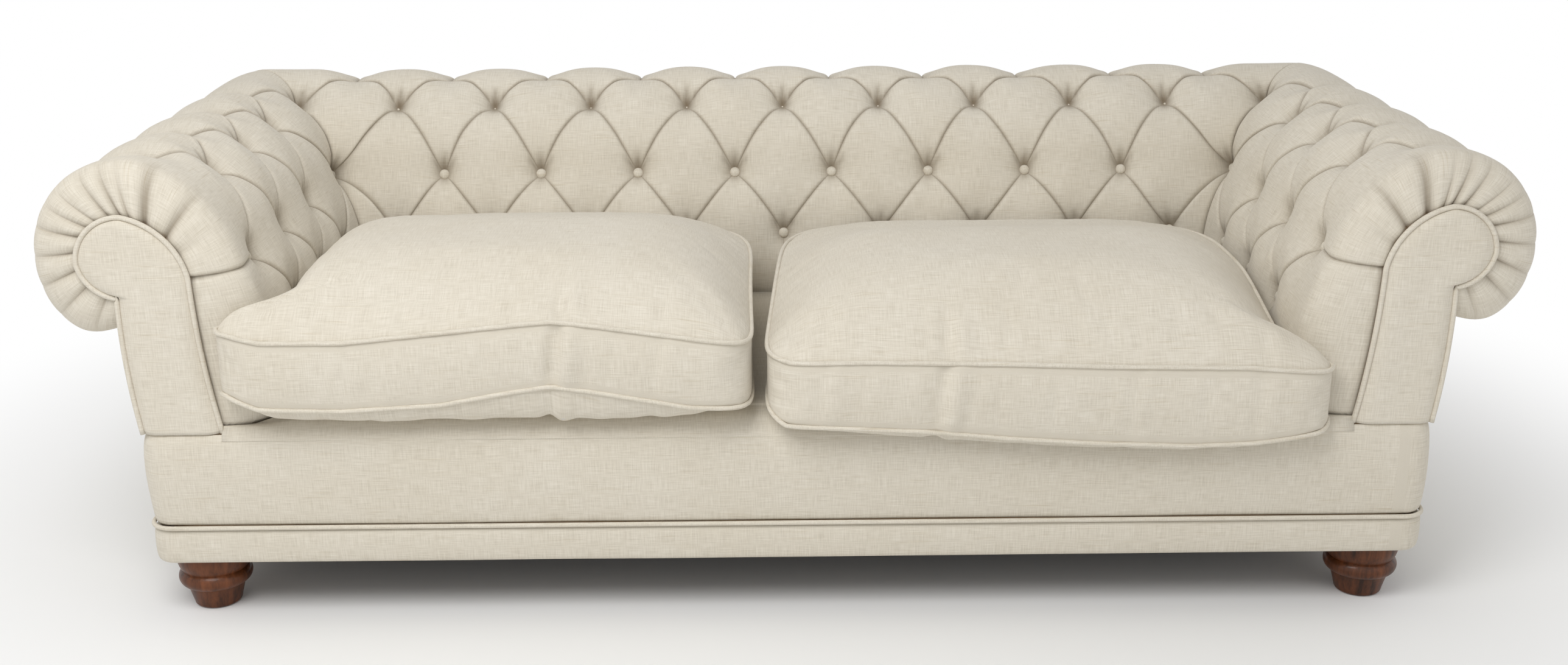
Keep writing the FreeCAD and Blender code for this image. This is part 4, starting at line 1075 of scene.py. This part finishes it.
# %% [markdown]
# ## Cushions
# A seat cushion is a feather-filled bag: a top and a bottom, joined by a strip called the boxing, with
# piping on both seams. A grid is extruded to a slab and shaped to the cushion's plan and to its seams, and
# then the cloth simulation blows it up. The seams and the bottom are pinned, so only the top and the boxing
# swell. The cover is cut a little too large on purpose, which leaves the soft creases of a used cushion.

# %% The cushions' shape
seat_level = 0.3379
cushion_front, cushion_rear = front_y - 0.048, 0.1664
cushion_sides = {"left": (-0.054, -0.774, -0.862), "right": (-0.038, 0.771, 0.829)}
ear_start, ear_end = front_y - 0.006, front_y + 0.048
front_squareness, rear_squareness = 14, 4.5
side_seams = (0.358, 0.466)
front_seams = {
    "left": (((-0.843, 0.381), (-0.792, 0.362), (-0.67, 0.358), (-0.523, 0.366), (-0.424, 0.384),
              (-0.358, 0.394), (-0.288, 0.384), (-0.150, 0.360), (-0.054, 0.355)),
             ((-0.833, 0.477), (-0.782, 0.466), (-0.661, 0.465), (-0.516, 0.479), (-0.400, 0.491),
              (-0.351, 0.495), (-0.284, 0.487), (-0.177, 0.472), (-0.054, 0.454))),
    "right": (((-0.038, 0.345), (-0.007, 0.327), (0.061, 0.325), (0.214, 0.316), (0.332, 0.304),
               (0.464, 0.295), (0.608, 0.290), (0.700, 0.294), (0.813, 0.309)),
              ((-0.038, 0.436), (0.002, 0.427), (0.110, 0.428), (0.340, 0.422), (0.481, 0.417),
               (0.691, 0.414), (0.813, 0.404)))}
cushion_tops = {"left": 0.5620, "right": 0.5375}
crown_run = 0.23
rear_fall = {"left": 0.40, "right": 0.62}
arm_steps = (-1.0, -0.72, -0.2, 0.6)
arm_steepness = {"left": (0.9, 3.4, 2.6, 1.2), "right": (1.0, 1.0, 1.0, 1.0)}
rear_drift = {"left": 0.0, "right": 0.03}
boxing_rows = 8
columns, rows = 84, 56


def cushion_plan(side, s, t):
    """A place on the cushion's plan, from -1 to 1 across and from front to rear."""
    power = front_squareness if t < 0 else rear_squareness
    corner = max(abs(s), abs(t)) / max((abs(s) ** power + abs(t) ** power) ** (1 / power), 1e-6)
    s, t = s * corner, t * corner
    inner, outer, ear = cushion_sides[side]
    depth = cushion_front + (t + 1) / 2 * (cushion_rear - cushion_front)
    reach = outer + (ear - outer) * (1 - smooth_step(depth, ear_start, ear_end))
    inner += rear_drift[side] * smooth_step(depth, cushion_front, cushion_rear)
    x = inner + (s + 1) / 2 * (reach - inner)
    depth += 0.007 * (1 - s * s) * (1 if t < 0 else -1) * abs(t) ** 4
    x += 0.006 * (1 - t * t) * (-s ** 3) * (1 if outer > inner else -1)
    return x, depth


def seam_height(side, which, x, depth):
    """Height of the lower (0) or upper (1) seam."""
    line = sorted(front_seams[side][which])
    front = np.interp(x, [spot[0] for spot in line], [spot[1] for spot in line])
    share = smooth_step(depth, cushion_front + 0.04, cushion_front + 0.40) if which else \
        smooth_step(depth, cushion_front + 0.01, cushion_front + 0.12)
    return front + (side_seams[which] - front) * share


def crown_share(side, s, t):
    """How far the top has risen, from 0 on its seam to 1 well inside. It rises steeply beside the left arm,
    and falls again towards the rear, where the feathers have been pushed forward."""
    across = max((1 - abs(s)) * 0.38, 1e-4)
    if s > 0:
        across *= np.interp(t, arm_steps, arm_steepness[side])
    along = max((1 - abs(t)) * (cushion_rear - cushion_front) / 2, 1e-4)
    inset = (across ** -3 + along ** -3) ** (-1 / 3)
    rise = 1 - (1 - min(inset / crown_run, 1)) ** 2.6
    return rise * (1 - rear_fall[side] * smooth_step(t, -0.1, 0.65))


def cushion_spot(side, s, t, level):
    x, depth = cushion_plan(side, s, t)
    low, high = seam_height(side, 0, x, depth), seam_height(side, 1, x, depth)
    if level == 1:
        return Vector((x, depth, high + (cushion_tops[side] - high) * crown_share(side, s, t)))
    if level == 0:
        edge = (1 - abs(s) ** 2.4) * (1 - abs(t) ** 2.4)
        resting = smooth_step(depth, front_y - 0.030, front_y + 0.004)
        ripple = 0.004 * noise.noise(Vector((x * 26, depth * 9, 0.7)))
        hang = low - (max(0.018, low - 0.336) + ripple) * min(edge * 14, 1.0)
        inside = min(edge * 9, 1.0)
        return Vector((x, depth, (low + (seat_level - low) * inside) * resting + hang * (1 - resting)))
    return Vector((x, depth, low + (high - low) * level))


def cushion_mesh(side):
    bm = new_cloth()
    weave = bm.verts.layers.float_vector["weave"]
    pinned = bm.verts.layers.float.new("pinned")
    bmesh.ops.create_grid(bm, x_segments=columns, y_segments=rows, size=1.0)
    made = bmesh.ops.extrude_face_region(bm, geom=bm.faces[:], use_keep_orig=True)["geom"]
    raised = [part for part in made if isinstance(part, bmesh.types.BMVert)]
    bmesh.ops.translate(bm, verts=raised, vec=(0, 0, 1))
    posts = [edge for edge in bm.edges if abs(edge.verts[0].co.z - edge.verts[1].co.z) > 0.5]
    bmesh.ops.subdivide_edges(bm, edges=posts, cuts=boxing_rows - 1)
    for vert in bm.verts:
        s, t, level = vert.co
        vert.co = cushion_spot(side, s, t, level)
        on_rim = max(abs(s), abs(t)) > 0.999
        hemmed_in = on_rim and vert.co.y > front_y - 0.01
        vert[pinned] = 1.0 if (on_rim and level in (0, 1)) or level == 0 or hemmed_in else 0.0
        if level in (0, 1):
            vert[weave] = (vert.co.x, 0, vert.co.y)
        else:
            vert[weave] = (vert.co.x + vert.co.y, 0, vert.co.z)
    bmesh.ops.recalc_face_normals(bm, faces=bm.faces)
    if bm.calc_volume(signed=True) < 0:
        bmesh.ops.reverse_faces(bm, faces=bm.faces)
    litres = bm.calc_volume(signed=True) * 1000
    print(side, "cushion's volume before it is blown up, litres:", round(litres, 1))
    return bm


print("cushion grid:", columns, "by", rows)

# %% [markdown]
# ## Blowing up the cushions
# Cloth with pressure and no gravity swells like a balloon held at its seams. The simulation is stepped
# through twenty frames, each point's way is capped, and the result is written into the mesh, so no cloth
# stays on the piece.

# %% Simulation
cushion_pressure = 4.0
cloth_excess = 0.008
most_swelling = 0.009


def blow_up(piece, pressure, excess, cap, frames=20):
    mesh = piece.data
    marks = mesh.attributes["pinned"].data
    seams = piece.vertex_groups.new(name="seams")
    seams.add([index for index, mark in enumerate(marks) if mark.value > 0.5], 1.0, "REPLACE")
    cloth = piece.modifiers.new("cloth", "CLOTH")
    settings = cloth.settings
    settings.quality = 5
    settings.mass = 0.3
    settings.tension_stiffness = 15
    settings.compression_stiffness = 8
    settings.bending_stiffness = 0.3
    settings.use_pressure = True
    settings.uniform_pressure_force = pressure
    settings.shrink_min = -excess
    settings.vertex_group_mass = "seams"
    settings.effector_weights.gravity = 0
    cloth.point_cache.frame_start = 1
    cloth.point_cache.frame_end = frames
    for step in range(1, frames + 1):
        scene.frame_set(step)
    swollen = piece.evaluated_get(bpy.context.evaluated_depsgraph_get()).to_mesh()
    moves = []
    for vert, after in zip(mesh.vertices, swollen.vertices):
        move = after.co - vert.co
        moves.append(move.length)
        vert.co += move * min(1.0, cap / max(move.length, 1e-9))
    piece.modifiers.remove(cloth)
    scene.frame_set(1)
    top_level = max(vert.co.z for vert in mesh.vertices)
    print(piece.name, "moved by up to, m:", round(max(moves), 4), "and tops out at", round(top_level, 4))


# %% [markdown]
# ## Creases in the cushions
# A used cushion has a fold where its front kinks, and small puckers along its seams where the stitches draw
# the cloth in. They are pressed in after the simulation, because pressure would smooth them out again.

# %% Creases
cover_to_filling = 0.007
folds_in_front = {"left": ((-0.352, 0.0100), (-0.20, 0.0025), (-0.62, 0.0020)),
                  "right": ((0.232, 0.0085), (0.05, 0.0025), (0.52, 0.0022), (0.71, 0.0025))}


def press_creases(piece, side):
    """Presses the folds and the seams' puckers into the finished cushion."""
    mesh = piece.data
    for vert in mesh.vertices:
        x, depth, level = vert.co
        seam_gap = min(abs(level - seam_height(side, which, x, depth)) for which in (0, 1))
        near_front = 1 - smooth_step(depth, cushion_front + 0.01, cushion_front + 0.10)
        press = 0.0
        for middle, strength in folds_in_front[side]:
            offset = x - middle - 0.12 * (level - 0.42)
            groove = math.exp(-(offset / 0.0085) ** 2) - 0.7 * math.exp(-((offset - 0.022) / 0.012) ** 2)
            press += strength * groove * near_front * smooth_step(seam_gap, 0.0, 0.016)
        gather = noise.noise(Vector(((x + depth) * 48, seam_gap * 12, 2.9)))
        press += 0.0030 * gather * math.exp(-seam_gap / 0.022) * smooth_step(seam_gap, 0.0, 0.006)
        vert.co -= vert.normal * press


for side in ("left", "right"):
    body = side + "_cushion"
    cushion = add_piece(cushion_mesh(side), "feather_" + body, body, linen, body + "_cover")
    blow_up(cushion, cushion_pressure, cloth_excess, most_swelling)
    press_creases(cushion, side)
    subdivide(cushion)
    bm = bmesh.new()
    bm.from_mesh(cushion.data)
    for vert in bm.verts:
        vert.co -= vert.normal * cover_to_filling
    filling = add_piece(bm, "filling_of_" + body, body, feather_fill, body + "_fill")

# %% Piping on the cushions
seam_cord_radius = 0.0036


def seam_line(side, which):
    """Points round the lower (0) or upper (1) seam of a cushion."""
    rim = [(-1 + 2 * step / columns, -1) for step in range(columns)]
    rim += [(1, -1 + 2 * step / rows) for step in range(rows)]
    rim += [(1 - 2 * step / columns, 1) for step in range(columns)]
    rim += [(-1, 1 - 2 * step / rows) for step in range(rows)]
    return [cushion_spot(side, s, t, which) for s, t in rim]


for side in ("left", "right"):
    body = side + "_cushion"
    lines = [seam_line(side, which) for which in (0, 1)]
    add_piping(side + "_seam_cords", lines, seam_cord_radius, True, body, body + "_piping")
print("cushions piped")

# %% [markdown]
# ## Seat deck and outside panels
# Under the cushions lies a padded deck with a rounded nose. Outside, the arms and the back are closed with
# panels of linen over wadding, that lean out from the base up to the roll.

# %% Deck and panels
def add_slab(name, spot_of, across, upward, thickness, node):
    bm = new_cloth()
    weave = bm.verts.layers.float_vector["weave"]
    for vert in bmesh.ops.create_grid(bm, x_segments=across, y_segments=upward, size=0.5)["verts"]:
        vert.co, vert[weave] = spot_of(vert.co.x + 0.5, vert.co.y + 0.5)
    bmesh.ops.recalc_face_normals(bm, faces=bm.faces)
    bmesh.ops.solidify(bm, geom=bm.faces[:], thickness=thickness)
    bmesh.ops.recalc_face_normals(bm, faces=bm.faces)
    piece = add_piece(bm, name, "sofa", linen, node)
    return piece


deck_low, deck_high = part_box("seat_deck_pad")
deck_way = smooth_line(((front_y - 0.0022, 0.2960), (front_y + 0.0008, 0.3035), (front_y + 0.008, 0.314),
                        (deck_low.y + 0.020, 0.3245), (deck_low.y + 0.040, 0.331),
                        (deck_low.y + 0.075, 0.3355), (deck_low.y + 0.30, 0.3368),
                        (deck_high.y - 0.002, 0.336)), 6)
deck_half, deck_ear = 0.7835, 0.866
ear_level = 0.3165


def deck_spot(a, b):
    """The deck runs out in front of each cheek, as far as the facing, and lies lower there."""
    y, z = deck_way[round(b * (len(deck_way) - 1))]
    turned = min(max((turn_depth - (y - front_y)) / (turn_depth - facing_back), 0.0), 1.0)
    half = deck_half + (deck_ear - deck_half) * (1 - math.sqrt(1 - turned ** 2))
    x = (2 * a - 1) * half
    z = min(z, ear_level + 0.03 * (1 - smooth_step(abs(x), 0.775, 0.800)))
    return (x, y, z), (x, 0, y + z)


add_slab("seat_deck", deck_spot, 60, len(deck_way) - 1, 0.009, "seat_deck_pad")
panel_bottom, panel_top = 0.3065, 0.4713
panel_foot, panel_lean = -0.0022, 0.0165
panel_over_board = 0.0045
panel_front = 0.0142
panel_crown = 0.0025
edge_rises = [rise for _, rise in outer_edge]
edge_reaches = [reach for reach, _ in outer_edge]


def outside_spot(a, b, pad):
    """The panels of back and arms lean out together, so that they meet all the way up each rear corner."""
    rise = panel_bottom + (panel_top - panel_bottom) * b - roll_height
    reach = max(panel_foot + panel_lean * b, np.interp(rise, edge_rises, edge_reaches) + panel_over_board)
    end = corner_centre[pad] + reach
    start = -end if pad == "back" else panel_front
    along = start + a * (end - start)
    crown = panel_crown * (1 - (2 * a - 1) ** 8) * (1 - (2 * b - 1) ** 4)
    return place(pad, along, reach + crown, rise), (along, 0, b * 0.165)


for pad, node in (("back", "outside_back_panel"), ("left_arm", "left_outside_arm_panel"),
                  ("right_arm", "right_outside_arm_panel")):
    add_slab("outside_of_" + pad, lambda a, b: outside_spot(a, b, pad), 60, 12, 0.0042, node)
print("deck and outside panels done")

# %% [markdown]
# ## Hidden cloths
# Sheets of hessian line the pads and lie over the springs, and a black dust cover closes the bottom. Each
# is a flat grid, cut to the size that its frame needs; only the dust cover has a little slack in it.

# %% Sheets
def add_sheet(name, node, material, axis, sag, thickness=0.0012):
    """A sheet in the middle of a thin CAD sheet; axis is the direction that it faces."""
    low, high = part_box(node)
    first, second = [index for index in range(3) if index != axis]
    middle = (low[axis] + high[axis]) / 2
    bm = bmesh.new()
    for vert in bmesh.ops.create_grid(bm, x_segments=40, y_segments=16, size=0.5)["verts"]:
        a, b = vert.co.x + 0.5, vert.co.y + 0.5
        spot = [0.0, 0.0, 0.0]
        spot[first] = low[first] + a * (high[first] - low[first])
        spot[second] = low[second] + b * (high[second] - low[second])
        spot[axis] = middle + sag * math.sin(math.pi * a) * math.sin(math.pi * b)
        vert.co = spot
    bmesh.ops.recalc_face_normals(bm, faces=bm.faces)
    width, length = high[first] - low[first], high[second] - low[second]
    cut = width * length
    if node == "dust_cover":
        cut = trim_round_feet(bm)
    bmesh.ops.solidify(bm, geom=bm.faces[:], thickness=thickness * 0.7)
    bmesh.ops.recalc_face_normals(bm, faces=bm.faces)
    sheet = add_piece(bm, name, "sofa", material, node)
    print(name, "cut to, m:", round(width, 3), "by", round(length, 3))


def trim_round_feet(bm):
    """Cuts the corners of the dust cover away round the feet, and returns the area left."""
    for foot in ("front_left_foot", "front_right_foot", "rear_left_foot", "rear_right_foot"):
        low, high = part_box(foot)
        centre = (low + high) / 2
        radius = (high.x - low.x) / 2 + 0.002
        near = [face for face in bm.faces if (face.calc_center_median() - centre).xy.length < radius + 0.02]
        bmesh.ops.delete(bm, geom=near, context="FACES")
        bm.verts.ensure_lookup_table()
    return sum(face.calc_area() for face in bm.faces)


add_sheet("spring_hessian", "seat_hessian", hessian, 2, 0.0)
add_sheet("underside_cloth", "dust_cover", dust_cloth, 2, -0.002,
          0.0009)
add_sheet("left_lining_cloth", "left_arm_lining", hessian, 0, 0.0)
add_sheet("right_lining_cloth", "right_arm_lining", hessian, 0, 0.0)
add_sheet("back_lining_cloth", "back_lining", hessian, 1, 0.0)

# %% [markdown]
# ## Studio
# A pale floor fades into a white surround, a large lamp stands up on the left in front, and a weaker one on
# the right. The world gives the rest. The floor keeps the sofa's shadow; further out it glows plain white,
# so that no horizon shows.

# %% Floor
bm = bmesh.new()
bmesh.ops.create_grid(bm, x_segments=8, y_segments=8, size=9.0)
mesh = bpy.data.meshes.new("floor")
bm.to_mesh(mesh)
bm.free()
floor = bpy.data.objects.new("floor", mesh)
scene.collection.objects.link(floor)
material, tree, surface = new_material("pale_floor", 0.9, 0.1)
surface.inputs["Base Color"].default_value = (0.9, 0.9, 0.89, 1)
distance = add_node(tree, "ShaderNodeVectorMath", {"operation": "LENGTH"})
tree.links.new(in_place(tree), distance.inputs[0])
fade = add_node(tree, "ShaderNodeMapRange", {"interpolation_type": "SMOOTHSTEP"},
                From_Min=0.9, From_Max=2.0)
tree.links.new(distance.outputs["Value"], fade.inputs["Value"])
white = add_node(tree, "ShaderNodeEmission", Color=(1, 1, 1, 1), Strength=1.0)
blend = tree.nodes.new("ShaderNodeMixShader")
tree.links.new(fade.outputs["Result"], blend.inputs["Fac"])
tree.links.new(surface.outputs["BSDF"], blend.inputs[1])
tree.links.new(white.outputs["Emission"], blend.inputs[2])
tree.links.new(blend.outputs["Shader"], tree.nodes["Material Output"].inputs["Surface"])
mesh.materials.append(material)
print("floor laid")

# %% Lamps and surround
def add_lamp(name, spot, target, size, power):
    lamp = bpy.data.lights.new(name, "AREA")
    lamp.size = size
    lamp.energy = power
    piece = bpy.data.objects.new(name, lamp)
    turn = (Vector(target) - Vector(spot)).to_track_quat("-Z", "Y").to_matrix().to_4x4()
    piece.matrix_world = Matrix.Translation(spot) @ turn
    scene.collection.objects.link(piece)


add_lamp("key_lamp", (-0.95, -1.9, 2.6), (-0.1, 0, 0.4), 1.6, 45)
add_lamp("fill_lamp", (2.6, -3.2, 2.2), (0, 0, 0.4), 2.4, 5)
world = bpy.data.worlds.new("surround")
scene.world = world
world.use_nodes = True
tree = world.node_tree
surround = tree.nodes["Background"]
surround.inputs["Color"].default_value = (1, 1, 1, 1)
seen = add_node(tree, "ShaderNodeLightPath")
level = math_node(tree, "MAXIMUM", seen.outputs["Is Camera Ray"], seen.outputs["Is Glossy Ray"])
level = math_node(tree, "MAXIMUM", level, seen.outputs["Is Transmission Ray"])
level = math_node(tree, "MAXIMUM", level, 0.58)
tree.links.new(level, surround.inputs["Strength"])
print("lamps lit")
